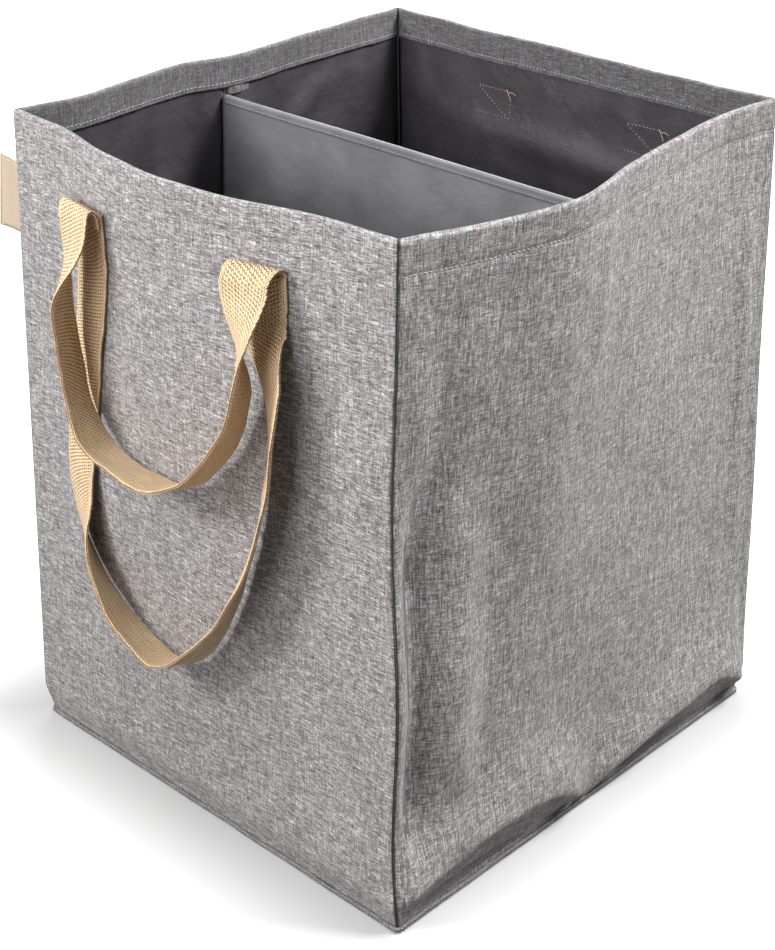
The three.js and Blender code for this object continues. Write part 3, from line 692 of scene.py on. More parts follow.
def lining_shell(name, behind):
    """The panels of one bin, behind the divider or before it, between its edges and the corners."""
    outline = layer_ring(LINING_OUTER, LINING_INNER, FLOOR_LOW, LAYERS_TOP, 76)
    parts = []
    for wall in WALLS:
        place = DIVIDER_SIDE.get(wall["name"])
        if place is None:
            if (wall["name"] == "back") == behind:
                parts.append(wall_layer(wall, 90, outline, lining_relief))
        elif (wall["name"] == "right") == behind:
            parts.append(wall_layer(wall, 56, outline, lining_relief, low=place + DIVIDER_HALF))
        else:
            parts.append(wall_layer(wall, 56, outline, lining_relief, high=place - DIVIDER_HALF))
    return grid_object(name, parts)


linings = []
for bin_name, behind in (("front_bin", False), ("back_bin", True)):
    lining = lining_shell("lining_" + bin_name, behind)
    linings.append(lining)
    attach(lining, "bag")
    end_wall = "lining_back" if behind else "lining_front"
    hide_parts(end_wall, "lining_right_" + bin_name, "lining_left_" + bin_name)


def layer_at(wall, along, z, depth):
    """Distance from the middle of a layer that follows the outer cloth's relief."""
    return out_at(wall, along, z) + follow(outer_relief(wall, along, z)) - depth


def side_x(name, y, z, depth):
    """Where a side wall's layer stands across the bag, at a distance behind the middle."""
    return layer_at(WALL[name], y, z, depth) if name == "right" else -layer_at(WALL[name], -y, z, depth)


def end_y(name, depth):
    """A function of x and z for where the front or back wall's layer stands."""
    side = 1 if name == "front" else -1
    return lambda x, z: -side * layer_at(WALL[name], side * x, z, depth)


def straight_y(y):
    """A function of x and z for a straight edge across the bag."""
    return lambda x, z: y + 0 * x


def floor_cloth(name, low, high, depth, front, back, relief, count=40):
    """A flat sheet between the side walls and between two edges across the bag, given as functions of the
    distance from the middle; its top side is lifted by the relief."""
    sheet_z = np.concatenate([np.full(count, low), np.full(count, high)])[None, :]
    step = np.linspace(0, 1, count)
    share = np.concatenate([step, step[::-1]])[None, :]
    right = np.linspace(-1, 1, count)[:, None]
    nominal = right * (half_at(WALL["front"], sheet_z) - depth)
    y = front(nominal, sheet_z) + share * (back(nominal, sheet_z) - front(nominal, sheet_z))
    left_x, right_x = side_x("left", y, sheet_z, depth), side_x("right", y, sheet_z, depth)
    x = left_x + (right + 1) / 2 * (right_x - left_x)
    z = sheet_z + relief(x, y) * (1 - right**8) * (1 - (2 * share - 1) ** 8)
    uv_x = np.broadcast_to(x[:, :1], (count, 2 * count + 1))
    uv_y = np.concatenate([y, y[:, :1]], 1)
    return grid_object(name, [(in_metres(x, y, z), in_metres(uv_x, uv_y), "bar")])


def floor_relief(x, y):
    """The floor lining lies slack on its board, in low ripples."""
    return np.maximum(0.4 + ripple(151, x, y, wave=80, height=1.6), 0)


FLOOR_EDGE = LINING_INNER + CLEAR
bin_edges = {
    "front_bin": (end_y("front", FLOOR_EDGE), straight_y(DIVIDER_Y - DIVIDER_HALF - CLEAR)),
    "back_bin": (straight_y(DIVIDER_Y + DIVIDER_HALF + CLEAR), end_y("back", FLOOR_EDGE)),
}
for bin_name, edges in bin_edges.items():
    floor = floor_cloth("floor_" + bin_name, FLOOR_LOW, FLOOR_TOP, FLOOR_EDGE, *edges, floor_relief)
    linings.append(floor)
    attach(floor, "bag")
    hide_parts("lining_floor_" + bin_name)

# Coated cloth: a fine plain weave under a thin film, with small crinkles and a dull satin shine.
film, work, given, out = group(
    "coated_weave", [("Height", "Float"), ("Cloud", "Float")], [("Pitch", "Float", 0.6)])
place = work.use(cloth_place)
u, v = place["U"], place["V"]
step = 2 * math.pi / given["Pitch"]
weave = (u * step).sine() * (v * step).sine()
crinkle = work.noise(work.spot(u, v), scale=0.11, detail=4.0, rough=0.55)
fine = work.noise(work.spot(u, v, 4.0), scale=0.7)
cloud = work.noise(work.spot(u, v, 9.0), scale=0.03, detail=3.0)
work.fill(out, {"Height": weave * 0.03 + crinkle + fine * 0.1, "Cloud": cloud})


def coated(name, dark, light, rough, relief):
    """A coated cloth between two shades, with a relief in metres."""
    made, work, shader = material(name)
    fabric = work.use(film)
    work.fill(shader, {
        "Base Color": work.mix(work.span(fabric["Cloud"], 0.35, 0.65), dark, light),
        "Normal": work.bump(fabric["Height"], strength=0.6, distance=relief),
        "Roughness": work.span(fabric["Cloud"], 0.3, 0.7, rough - 0.05, rough + 0.06),
        "Specular IOR Level": 0.45,
    })
    return made


dress(coated("lining", (0.044, 0.041, 0.045), (0.056, 0.052, 0.057), 0.44, 0.0016), *linings)

# The divider: a padded panel of lighter coated polyester between the two side walls, a little slack, with a
# tape folded over its top edge and stitched through.
DIVIDER_TOP = HEM_LOW - 5.0
DIVIDER_SHEET_TOP = DIVIDER_TOP - 0.9
DIVIDER_FOLDS = [((-120, 480), (-150, 260), 20, 4.0), ((-60, 484), (-40, 300), 26, 4.6),
                 ((40, 480), (70, 260), 24, -5.0), ((112, 480), (120, 240), 18, 4.4),
                 ((160, 470), (170, 200), 14, -3.4)]


def divider_sway(x, z):
    """How far the divider stands off its plane, in mm: wide ripples and the listed folds, none at its ends
    and at the floor and little at its top."""
    away = ease((188 - np.abs(x - 6)) / 40) * ease((z - 8) / 60)
    sway = ripple(171, x, z * 0.6, wave=190, height=6.0) + ripple(173, x, z, wave=70, height=1.2)
    for start, end, width, height in DIVIDER_FOLDS:
        sway = sway + crease(x, z, start, end, width, height)
    return sway * away * (1 - 0.75 * ease((z - 380) / 110))


def across_bag(outline, columns, depth):
    """A profile, as rows of (distance off the divider's plane, height), carried from the left wall to the
    right one along the swaying divider."""
    off, z = (value[None, :] for value in outline)
    mix = np.linspace(0, 1, columns)[:, None]
    left_x, right_x = side_x("left", DIVIDER_Y + off, z, depth), side_x("right", DIVIDER_Y + off, z, depth)
    x = left_x + mix * (right_x - left_x)
    points = in_metres(x, DIVIDER_Y + off + divider_sway(x, z), z)
    run = np.concatenate([x, x[:, :1]], 1)
    return points, in_metres(run, ring_run(off[0], z[0])[None, :]), "bar"


sheet_z = np.concatenate([[1.5, 3, 6], np.linspace(10, DIVIDER_SHEET_TOP - 4, 66), [DIVIDER_SHEET_TOP - 1.5]])
plump = 1.4 + 0.7 * ease((sheet_z - 4) / 40) * ease((DIVIDER_SHEET_TOP - sheet_z) / 30)
divider_outline = (
    np.concatenate([-plump, [-0.7, 0.7], plump[::-1]]),
    np.concatenate([sheet_z, [DIVIDER_SHEET_TOP, DIVIDER_SHEET_TOP], sheet_z[::-1]]))
divider = grid_object("divider", [across_bag(divider_outline, 90, LINING_OUTER)])
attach(divider, "bag")
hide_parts("divider_core", "divider_skin_front", "divider_skin_back")

# The tape has two flat sides under a round top. Its outline runs over the top on the tape's outer face and
# back on its inner face.
TAPE_LOW, TAPE_HALF, TAPE, TAPE_ROUND = DIVIDER_TOP - 7.0, 2.7, 0.7, 2.0
TAPE_SIDE, TAPE_TOP_HALF = TAPE_HALF - 0.5, TAPE_HALF * 0.83
over = np.linspace(math.pi, 0, 7)
tape_side = np.linspace(TAPE_LOW, DIVIDER_TOP - TAPE_ROUND - 0.4, 5)
level = np.ones(len(tape_side))
tape_outline = (
    np.concatenate([-TAPE_SIDE * level, TAPE_TOP_HALF * np.cos(over), TAPE_SIDE * level,
                    (TAPE_SIDE - TAPE) * level, (TAPE_TOP_HALF - TAPE) * np.cos(over[::-1]),
                    (TAPE - TAPE_SIDE) * level]),
    np.concatenate([tape_side, DIVIDER_TOP - TAPE_ROUND + TAPE_ROUND * np.sin(over), tape_side[::-1], tape_side,
                    DIVIDER_TOP - TAPE_ROUND + (TAPE_ROUND - TAPE) * np.sin(over), tape_side[::-1]]))
tape = grid_object("divider_tape", [across_bag(tape_outline, 120, HEM_FACE)])
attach(tape, "bag")
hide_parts("divider_top_binding")
dress(coated("divider_cloth", (0.16, 0.161, 0.17), (0.19, 0.191, 0.201), 0.46, 0.0014), divider, tape)

# The small raw ends of outer cloth that peep out under the hem where the divider is sewn into the side walls.
# Each is a short strip that stands a little off the lining, with a frayed lower edge.
TAB_ROWS, TAB_COLUMNS = 6, 14
parts = []
for name in ("left", "right"):
    z = np.linspace(HEM_LOW - 7.0, HEM_LOW + 2, TAB_ROWS)
    drop = np.concatenate([z, z[::-1]])
    y = np.linspace(DIVIDER_Y + 3.4, DIVIDER_Y + 24, TAB_COLUMNS)[:, None] + 0 * drop
    fray = 0.6 * np.sin(y * 1.9) * ease((HEM_LOW - 3 - drop) / 4)
    depth = np.repeat([4.5, 5.3], TAB_ROWS) + 0.35 * np.sin(y * 0.35)
    points = in_metres(side_x(name, y, drop, depth), y, drop + fray)
    parts.append((points, in_metres(y[:, :1], np.append(drop, drop[0])), "bar"))
tabs = grid_object("divider_tabs", parts)
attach(tabs, "bag")
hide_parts("divider_tab_left", "divider_tab_right")

# The base: one piece of outer cloth under two stiff boards, and around it the bottom seam, where the edges of
# the walls and the base are turned out together and stitched as a low flat rib.
BASE_LOW, BASE_TOP, BASE_EDGE = 0.15, 1.0, 0.4
base = floor_cloth("base_cloth", BASE_LOW, BASE_TOP, BASE_EDGE, end_y("front", BASE_EDGE),
                   end_y("back", BASE_EDGE), lambda x, y: 0 * x)
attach(base, "bag")
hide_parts("outer_base")

FOOT_OUT, FOOT_RADIUS = 1.2 - tuck_at(5.0), 3.5
FOOT_X, FOOT_Y = BASE_WIDTH / 2 + FOOT_OUT, BASE_DEPTH / 2 + FOOT_OUT
RIB_HALF, RIB_MIDDLE, RIB_OUT, RIB_GIRTH = 2.45, 2.55, 1.25, 13.0


def foot_path(count):
    """A rectangle with rounded corners, walked at even steps, with the direction out of it at each step."""
    corner_x, corner_y = FOOT_X - FOOT_RADIUS, FOOT_Y - FOOT_RADIUS
    places, ways = [], []
    for k, (sx, sy) in enumerate([(1, 1), (-1, 1), (-1, -1), (1, -1)]):
        angle = np.linspace(0, math.pi / 2, 9) + k * math.pi / 2
        way = np.stack([np.cos(angle), np.sin(angle)], -1)
        places.append(np.array([sx * corner_x, sy * corner_y]) + FOOT_RADIUS * way)
        ways.append(way)
    place, way = np.concatenate(places + [places[0][:1]]), np.concatenate(ways + [ways[0][:1]])
    run = np.concatenate([[0], np.cumsum(np.hypot(*np.diff(place, axis=0).T))])
    at = np.linspace(0, run[-1], count, endpoint=False)
    place = np.stack([np.interp(at, run, place[:, k]) for k in (0, 1)], -1)
    way = np.stack([np.interp(at, run, way[:, k]) for k in (0, 1)], -1)
    return at, place, unit(way)


def unit(vectors):
    """Vectors scaled to length one."""
    return vectors / np.linalg.norm(vectors, axis=-1, keepdims=True)


def rib_point(at, place, way, angle, off=0.0):
    """Point of the rib's skin: a flat oval section with a shallow groove along its face; it wanders a little
    in and out and up and down, as a sewn edge does."""
    wander = ripple(201, at, 0 * at, wave=60, height=1.6) + ripple(203, at, 0 * at, wave=14, height=0.4)
    lift = ripple(205, at, 0 * at, wave=80, height=0.9)
    half_width = RIB_OUT + off - 0.28 * bell(np.sin(angle) / 0.25) * (np.cos(angle) > 0)
    out = half_width * np.cos(angle) + wander * (0.4 + 0.3 * np.sin(angle))
    z = RIB_MIDDLE + (RIB_HALF + off) * np.sin(angle) + lift * ease(0.5 + 0.5 * np.sin(angle))
    return in_metres(place[..., 0] + way[..., 0] * out, place[..., 1] + way[..., 1] * out, np.maximum(z, 0.05))


def foot_rib():
    """The rib's section carried round the foot."""
    at, place, way = foot_path(720)
    angle = np.linspace(0, 2 * math.pi, 20, endpoint=False)[None, :]
    points = rib_point(at[:, None], place[:, None], way[:, None], angle)
    points = np.concatenate([points, points[:1]])
    run = np.append(at, at[-1] + at[1])[:, None]
    uv = in_metres(run, np.linspace(0, RIB_GIRTH, 21))
    return grid_object("bottom_rib", [(points, uv, "ring")], merge=1e-6)


rib = foot_rib()
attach(rib, "bag")
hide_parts("bottom_seam")

# The base, the rib and the divider's ends have the melange's finish without corner seams, a little darker.
plain_melange, work, shader = material("melange_plain")
fabric = work.use(melange)
work.fill(shader, {
    "Base Color": work.mix(0.5, fabric["Color"], (0.07, 0.07, 0.075)),
    "Normal": work.bump(fabric["Height"], strength=0.55, distance=0.00022),
    "Roughness": 0.82,
    "Specular IOR Level": 0.3,
})
dress(plain_melange, base, rib, tabs)
board = spun("board", (0.23, 0.17, 0.12), 0.8, 120.0, 0.2)
dress(board, bpy.data.objects["base_board_front_bin"], bpy.data.objects["base_board_back_bin"])

# The seam allowances inside the bins' four corners, bound with a narrow grey tape that stands into the bin
# and wanders where it isn't held.
BINDING_REACH, BINDING_HALF, BINDING_THICK, BINDING_GIRTH = 3.9, 2.6, 0.75, 12.0
parts = []
for wall in WALLS:
    turn = wall["turn"]
    z = np.linspace(FLOOR_TOP + 0.4, HEM_LOW - 0.6, 110)[:, None]
    angle = np.linspace(0, 2 * math.pi, 16, endpoint=False)[None, :]
    corner = half_at(wall, z) - dent_at(wall["next"], z)
    corner_x, corner_y = corner - LINING_INNER, LINING_INNER - out_at(wall, corner, z)
    inwards = BINDING_REACH + BINDING_HALF * np.cos(angle) + 0.7 * np.sin(z / 23 + turn)
    aside = BINDING_THICK * np.sin(angle) * (1 + 0.3 * np.cos(angle))
    aside = aside + 0.35 * np.cos(angle) * np.sin(z / 31 + 2 * turn)
    x = corner_x + math.sqrt(0.5) * (aside - inwards)
    y = corner_y + math.sqrt(0.5) * (aside + inwards)
    points = in_metres(*turned(wall, x, y), z)
    parts.append((points, in_metres(np.linspace(0, BINDING_GIRTH, 17)[None, :], z), "bar"))
corner_tapes = grid_object("corner_tapes", parts)
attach(corner_tapes, "bag")
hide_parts(*["corner_binding_%s_%s" % (wall["name"], wall["next"]["name"]) for wall in WALLS])

# The tape is grosgrain, with fine ribs across its run.
tape_material, work, shader = material("grosgrain")
ribs = (work.use(cloth_place)["U"] * 4.2).sine()
work.fill(shader, {
    "Base Color": work.mix(work.span(ribs, -1.0, 1.0), (0.035, 0.034, 0.037), (0.075, 0.073, 0.077)),
    "Normal": work.bump(ribs, strength=0.5, distance=0.0003),
    "Roughness": 0.6,
})
dress(tape_material, corner_tapes)

# The four webbing loops. A row of a route gives the wall-side edge, as a share of the anchors' distance from
# the middle and of the drop below the top, how far it stands off the wall between near and far, and the turn
# of the webbing: 0 lies with its free edge to the middle, 1 stands straight out and 2 lies away from it.
WEBBING, THICK, SPREAD = 38.0, 2.2, 86.0
SHORT = {"top": 468.0, "drop": 176.5, "near": 5.0, "far": 16.2, "stations": 480, "seed": 301, "route": [
    (-1.2, 0, 1, 0), (-1.2, 0.03, 1, 0), (-1.195, 0.1, 0.98, 0.05), (-1.2, 0.22, 0.75, 0.5),
    (-1.25, 0.42, 0.42, 0.56), (-1.27, 0.62, 0.15, 0.56), (-1.13, 0.85, 0.04, 0.6), (-0.83, 0.98, 0, 0.7),
    (-0.3, 1.01, 0, 0.78), (0.12, 0.99, 0, 0.82), (0.48, 0.87, 0, 0.9), (0.76, 0.68, 0.05, 1.0),
    (0.92, 0.46, 0.25, 1.12), (0.87, 0.25, 0.72, 1.4), (0.795, 0.11, 0.96, 1.86), (0.78, 0.03, 1, 2),
    (0.78, 0, 1, 2)]}
LONG = {"top": 445.0, "drop": 304.0, "near": 1.6, "far": 4.2, "stations": 760, "seed": 311, "route": [
    (-1.222, 0, 0, 0), (-1.223, 0.035, 0, 0), (-1.28, 0.11, 0, 0), (-1.44, 0.3, 0, 0.01), (-1.6, 0.5, 0, 0.03),
    (-1.65, 0.65, 0.05, 0.08), (-1.54, 0.775, 0.15, 0.22), (-1.28, 0.875, 0.35, 0.42), (-0.85, 0.96, 0.75, 0.6),
    (-0.4, 1, 1, 0.7), (-0.06, 1.005, 1, 0.76), (0.28, 0.93, 1, 0.88), (0.6, 0.77, 1, 1.12),
    (0.82, 0.6, 1, 1.3),
    (0.98, 0.42, 1, 1.4), (1.04, 0.27, 0.8, 1.43), (0.98, 0.17, 0.4, 1.62), (0.84, 0.09, 0, 1.92),
    (0.781, 0.035, 0, 2), (0.78, 0, 0, 2)]}
# The short loop's two ends: out of the sewn patch and forward over its top, as (distance off the wall, height).
FOLD = [(1.5, 463), (1.9, 467.6), (3.2, 472.4), (6.2, 476.0), (10.0, 476.9), (13.6, 474.6), (15.9, 468.6)]
FOLD_MIDDLE, FOLD_STATIONS, FOLD_EASE = 470.0, 34, 15.0
# The band's section: places across it and half its thickness there, as shares of its width and thickness.
WEB_U = WEBBING * np.array(
    [0, 0.012, 0.04, 0.08, 0.14, 0.22, 0.32, 0.44, 0.56, 0.68, 0.78, 0.86, 0.92, 0.96, 0.988, 1])
WEB_H = THICK / 2 * np.array([0.35, 0.8, 1.04, 1.04, 0.96, 1, 1, 1, 1, 1, 1, 0.96, 1.04, 1.04, 0.8, 0.35])
WEB_CLEAR = 0.35


def face_at(wall, along, z):
    """Distance of the outer cloth's face from the middle, with its relief."""
    return out_at(wall, along, z) + outer_relief(wall, along, z)


def through(points, count):
    """Stations on a centripetal Catmull-Rom curve through points, evenly shared out between the points, with
    the curve's direction and the place among the points at each."""
    points = np.asarray(points, float)
    padded = np.concatenate([2 * points[:1] - points[1:2], points, 2 * points[-1:] - points[-2:-1]])
    place = np.linspace(0, len(points) - 1, count)
    k = np.minimum(place.astype(int), len(points) - 2)
    t = (place - k)[:, None]
    a, b, c, d = (padded[k + step] for step in range(4))
    gap = [np.sqrt(np.linalg.norm(q - p, axis=1, keepdims=True)) for p, q in ((a, b), (b, c), (c, d))]
    leave = ((b - a) / gap[0] - (c - a) / (gap[0] + gap[1]) + (c - b) / gap[1]) * gap[1]
    reach = ((c - b) / gap[1] - (d - b) / (gap[1] + gap[2]) + (d - c) / gap[2]) * gap[1]
    q2, q3 = 3 * (c - b) - 2 * leave - reach, 2 * (b - c) + leave + reach
    ahead = leave + 2 * q2 * t + 3 * q3 * t * t
    return b + leave * t + q2 * t * t + q3 * t**3, unit(ahead), place


def loop_stations(wall, loop):
    """Edge, direction across and direction ahead at the stations of a loop's route. The webbing's way across
    is turned between lying on the wall and standing straight out of it."""
    side, down, off, turns = np.array(loop["route"], float).T
    x, z = side * SPREAD, loop["top"] - down * loop["drop"]
    stand = loop["near"] + off * (loop["far"] - loop["near"])
    edge, ahead, place = through(np.stack([x, -(face_at(wall, x, z) + stand), z], -1), loop["stations"])
    reach = WEBBING / 2
    x, z = edge[:, 0], edge[:, 2]
    slope_x = (out_at(wall, x + reach, z) - out_at(wall, x - reach, z)) / WEBBING
    slope_z = (out_at(wall, x, z + reach) - out_at(wall, x, z - reach)) / WEBBING
    out = np.stack([-slope_x, -np.ones(len(x)), -slope_z], -1)
    out = unit(out - ahead * np.sum(out * ahead, 1, keepdims=True))
    angle = curve_through(list(enumerate(turns)), place) * math.pi / 2
    inward = np.cross(out, ahead) * np.sign(np.cos(angle))[:, None]
    other = edge + inward * WEBBING
    proud = -edge[:, 1] - face_at(wall, x, z)
    other[:, 1] = -face_at(wall, other[:, 0], other[:, 2]) - proud
    lying = unit(other - edge)
    across = unit(lying * np.abs(np.cos(angle))[:, None] + out * np.sin(angle)[:, None])
    return edge, across, ahead


def fold_stations(wall, edge, across, rows):
    """The stations of a fold: its path in the plane straight out of the wall, at the webbing's end, leant so
    that it meets the loop's edge."""
    base = face_at(wall, edge[0] + across[0] * WEBBING / 2, FOLD_MIDDLE)
    lean = (-edge[1] - base) / SHORT["far"]
    points = [(edge[0], -(base + off * (1 + (lean - 1) * off / SHORT["far"])), z) for off, z in rows]
    place, ahead, _ = through(points, FOLD_STATIONS)
    return place, np.repeat(across[None, :], FOLD_STATIONS, 0), ahead


def run_along(points):
    """Distance along a row of points."""
    return np.concatenate([[0], np.cumsum(np.linalg.norm(np.diff(points, axis=0), axis=1))])


def free_part(run, held, fade):
    """0 within a held distance of both ends of a run, rising softly to 1 over a further distance."""
    return ease((run - held) / fade) * ease((run[-1] - held - run) / fade)


def eased_across(edge, across):
    """The directions across of a whole loop, smoothed along its run: each is the mean of its neighbours, by a
    bell of the distance between them, except at both sewn ends."""
    run = run_along(edge)
    weight = np.gradient(run) * bell((run[:, None] - run[None, :]) / FOLD_EASE)
    smooth = unit(weight @ across)
    return unit(across + free_part(run, 12, 12)[:, None] * (smooth - across))


def webbing_loop(name, wall, edge, across, ahead, seed):
    """A band of webbing on its stations: a flat section with rounded, slightly thicker edges, cupped and
    waved a little along its run, with small bumps along both edges, and kept off the cloth behind it."""
    run = run_along(edge + across * WEBBING / 2)
    thick_way = unit(np.cross(ahead, across))[:, None]
    free = free_part(run, 30, 60)[:, None]
    u, h = WEB_U[None, :], WEB_H[None, :]
    from_middle = 2 * u / WEBBING - 1
    cup = (0.9 * np.sin(run / 61 + seed) + 0.5)[:, None] * (1 - from_middle**2) * free
    wave = ripple(seed, run[:, None], u, wave=46, height=1.3) * free
    bumps = np.abs(np.sin(run * math.pi / 4.6)) + 0.6 * np.sin(run / 3.1 + seed) * np.sin(run / 13.7)
    spread = u + 0.75 * (bumps * free_part(run, 0, 12))[:, None] * from_middle**9
    middle = edge[:, None] + across[:, None] * spread[..., None] + thick_way * (cup + wave)[..., None]
    upper, lower = middle + thick_way * h[..., None], middle - thick_way * h[..., None]
    points = np.concatenate([upper, lower[:, ::-1]], 1)
    points[..., 1] = np.minimum(points[..., 1], -face_at(wall, points[..., 0], points[..., 2]) - WEB_CLEAR)
    # Where the cloth has pushed the band's back up to its front, the front gives way, to keep the thickness.
    # Both sides are views of the points, so the points move with them.
    upper, lower = points[:, :len(WEB_U)], points[:, len(WEB_U):][:, ::-1]
    squeezed = np.maximum(2 * h - np.linalg.norm(upper - lower, axis=-1), 0)
    outer_is_upper = upper[..., 1] < lower[..., 1]
    upper[..., 1] -= np.where(outer_is_upper, squeezed, 0)
    lower[..., 1] -= np.where(outer_is_upper, 0, squeezed)
    points = in_metres(*turned(wall, points[..., 0], points[..., 1]), points[..., 2])
    girth = np.concatenate([WEB_U, 2 * WEBBING - WEB_U[::-1], [2 * WEBBING]])[None, :]
    return grid_object(name, [(points, in_metres(girth, run[:, None]), "bar")])


def short_stations(wall):
    """The short loop's stations: its fold out of the left patch, its route and its fold into the right one."""
    edge, across, ahead = loop_stations(wall, SHORT)
    first = fold_stations(wall, edge[0], across[0], FOLD)
    last = fold_stations(wall, edge[-1], across[-1], FOLD[::-1])
    parts = zip(first, (edge, across, ahead), last)
    edge, across, ahead = (np.concatenate([a[:-1], b, c[1:]]) for a, b, c in parts)
    return edge, eased_across(edge, across), ahead


def long_stations(wall):
    """The long loop's stations, with a short straight run up into the patch at both ends."""
    edge, across, ahead = loop_stations(wall, LONG)
    rise = np.linspace(4.0, 0.6, 4)[:, None] * np.array([[0, 0, 1.0]])
    edge = np.concatenate([edge[:1] + rise, edge, edge[-1:] + rise[::-1]])
    across, ahead = (
        np.concatenate([way[:1].repeat(4, 0), way, way[-1:].repeat(4, 0)]) for way in (across, ahead))
    return edge, across, ahead


def wall_place(name, along, out, z):
    """A place straight out of the front or back wall, in m."""
    turned_by = -1 if name == "front" else 1
    return (-turned_by * along * MM, turned_by * out * MM, z * MM)


# Where each loop leaves the bag and where it is all handle, as (distance off the wall, height) in mm.
SHORT_BLEND, LONG_BLEND = ((3, 465), (13, 459)), ((0, 448.5), (0, 442.5))
webbing_pieces = []
for name in ("front", "back"):
    wall = WALL[name]
    wall_face = (out_at(wall, SPREAD, FOLD_MIDDLE) + out_at(wall, -SPREAD, FOLD_MIDDLE)) / 2
    for size, stations, loop, blend in (("short", short_stations, SHORT, SHORT_BLEND),
                                        ("long", long_stations, LONG, LONG_BLEND)):
        strap = webbing_loop("strap_" + name + "_" + size, wall, *stations(wall), loop["seed"])
        webbing_pieces.append(strap)
        handle = "handle_" + name + "_" + size
        start, end = (wall_place(name, 0, wall_face + off, z) for off, z in blend)
        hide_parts(handle)
        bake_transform(strap)

# The four patches, where a length of webbing holds the ends of both loops on the wall. A patch stands off the
# cloth over the loops' ends and comes down towards it at its sides.
PATCH_LOW, PATCH_TOP, PATCH_SEAT, PATCH_PROUD, PATCH_SOFT, PATCH_COLUMNS = 447.2, 471.4, 0.3, 3.1, 1.2, 24
for name in ("front", "back"):
    wall = WALL[name]
    for side, centre in (("left", -SPREAD), ("right", SPREAD)):
        off = np.concatenate([np.full(12, PATCH_SEAT), [1.0, 2.4], np.full(8, PATCH_PROUD), [2.4, 1.0]])
        up = np.concatenate([
            np.linspace(PATCH_LOW, PATCH_TOP, 12), [PATCH_TOP + 0.6, PATCH_TOP + 0.4],
            np.linspace(PATCH_TOP - 1, PATCH_LOW + 1, 8), [PATCH_LOW - 0.2, PATCH_LOW - 0.4]])
        x = np.linspace(centre - WEBBING / 2, centre + WEBBING / 2, PATCH_COLUMNS)[:, None]
        fade = ease((WEBBING / 2 - np.abs(x - centre)) / PATCH_SOFT)
        off_here = PATCH_SEAT + (off - PATCH_SEAT) * (0.45 + 0.55 * fade)
        points = in_metres(*turned(wall, x + 0 * up, -(face_at(wall, x, up) + off_here)), up)
        uv = in_metres(x - centre + WEBBING / 2, ring_run(off, up))
        patch = grid_object("patch_" + name + "_" + side, [(points, uv, "bar")])
        webbing_pieces.append(patch)
        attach(patch, "bag")
        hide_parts("anchor_patch_" + name + "_" + side)

# Cotton webbing: slanted ribs across the band, broken into grains that step from column to column, and a
# beaded, cord-like pair of rows along both edges. The colour follows the relief: painted highlight on the
# grains' crowns and painted shade between them.
COLUMNS, EDGE_ROWS, GRAIN, CORD, BEAD = 12, 3.2, 2.9, 1.55, 2.3
COTTON_RAMP_WITH_PAINTED_SHADE = [(0.14, (0.21, 0.1, 0.042)), (0.34, (0.55, 0.33, 0.165)), (0.52, (0.94, 0.66, 0.38)),
           (0.78, (1.0, 0.82, 0.56))]
web, work, _, out = group("webbing", [("Color", "Color"), ("Height", "Float")])
place = work.use(cloth_place)
u, v = work.math("PINGPONG", place["U"], WEBBING), place["V"]
wobble = work.noise(work.spot(u, v), scale=0.25) - 0.5
column = (u - EDGE_ROWS) / ((WEBBING - 2 * EDGE_ROWS) / COLUMNS)
across = column.fraction()
along = v / GRAIN + column * 0.5 + wobble * 0.8 + across * 0.4
crown = (across * math.pi).sine() * 0.7 + 0.3
grain = abs((along * math.pi).sine()) * crown
from_edge = work.math("MINIMUM", u, WEBBING - u)
at_edge = work.math("LESS_THAN", from_edge, EDGE_ROWS - 0.1)
beads = abs(((v + from_edge) * (math.pi / BEAD)).sine()) * 0.75 + 0.25
cord = work.math("POWER", abs((from_edge * (math.pi / CORD)).sine()), 0.5) * beads
height = grain * (1.0 - at_edge) + cord * at_edge
fluff = work.noise(work.spot(u, v, 7.0), scale=3.0)
tint = work.noise(work.spot(u, v * 0.2, 3.0), scale=0.3) - 0.5
# The tone follows the relief height: painted highlight on crowns and cords, painted shade in the gaps, with
# random fluff and tint.
tone = height * 0.75 + fluff * 0.25 + tint * 0.3
work.fill(out, {"Color": work.ramp(tone, COTTON_RAMP_WITH_PAINTED_SHADE), "Height": height + fluff * 0.15})

webbing_material, work, shader = material("webbing")
fabric = work.use(web)
work.fill(shader, {
    "Base Color": fabric["Color"],
    "Normal": work.bump(fabric["Height"], strength=1.0, distance=0.001),
    "Roughness": 0.88,
    "Specular IOR Level": 0.2,
    "Sheen Weight": 0.16,
    "Sheen Roughness": 0.6,
})
dress(webbing_material, *webbing_pieces)

# The tag: a strip of beige satin tape folded in two, its ends caught in the front left corner seam. Its
# section is a hairpin: out, round the fold and back, and the same again on the inner side of the tape.
TAG_TOP, TAG_LONG, TAG_REACH, TAG_ROOT, TAG_TAPE = HEIGHT - 40.0, 54.0, 20.3, -1.5, 0.35
TAG_CURL, TAG_CURL_FROM, TAG_WAVE = 0.0001575, 20.0, 0.8
round_fold = np.linspace(math.pi / 2, -math.pi / 2, 9)


def hairpin(gap, fold_gap):
    """Half the distance between a folded tape's two runs, along one and back along the other."""
    return np.concatenate([np.full(10, gap), fold_gap * np.sin(round_fold), np.full(10, -gap)])


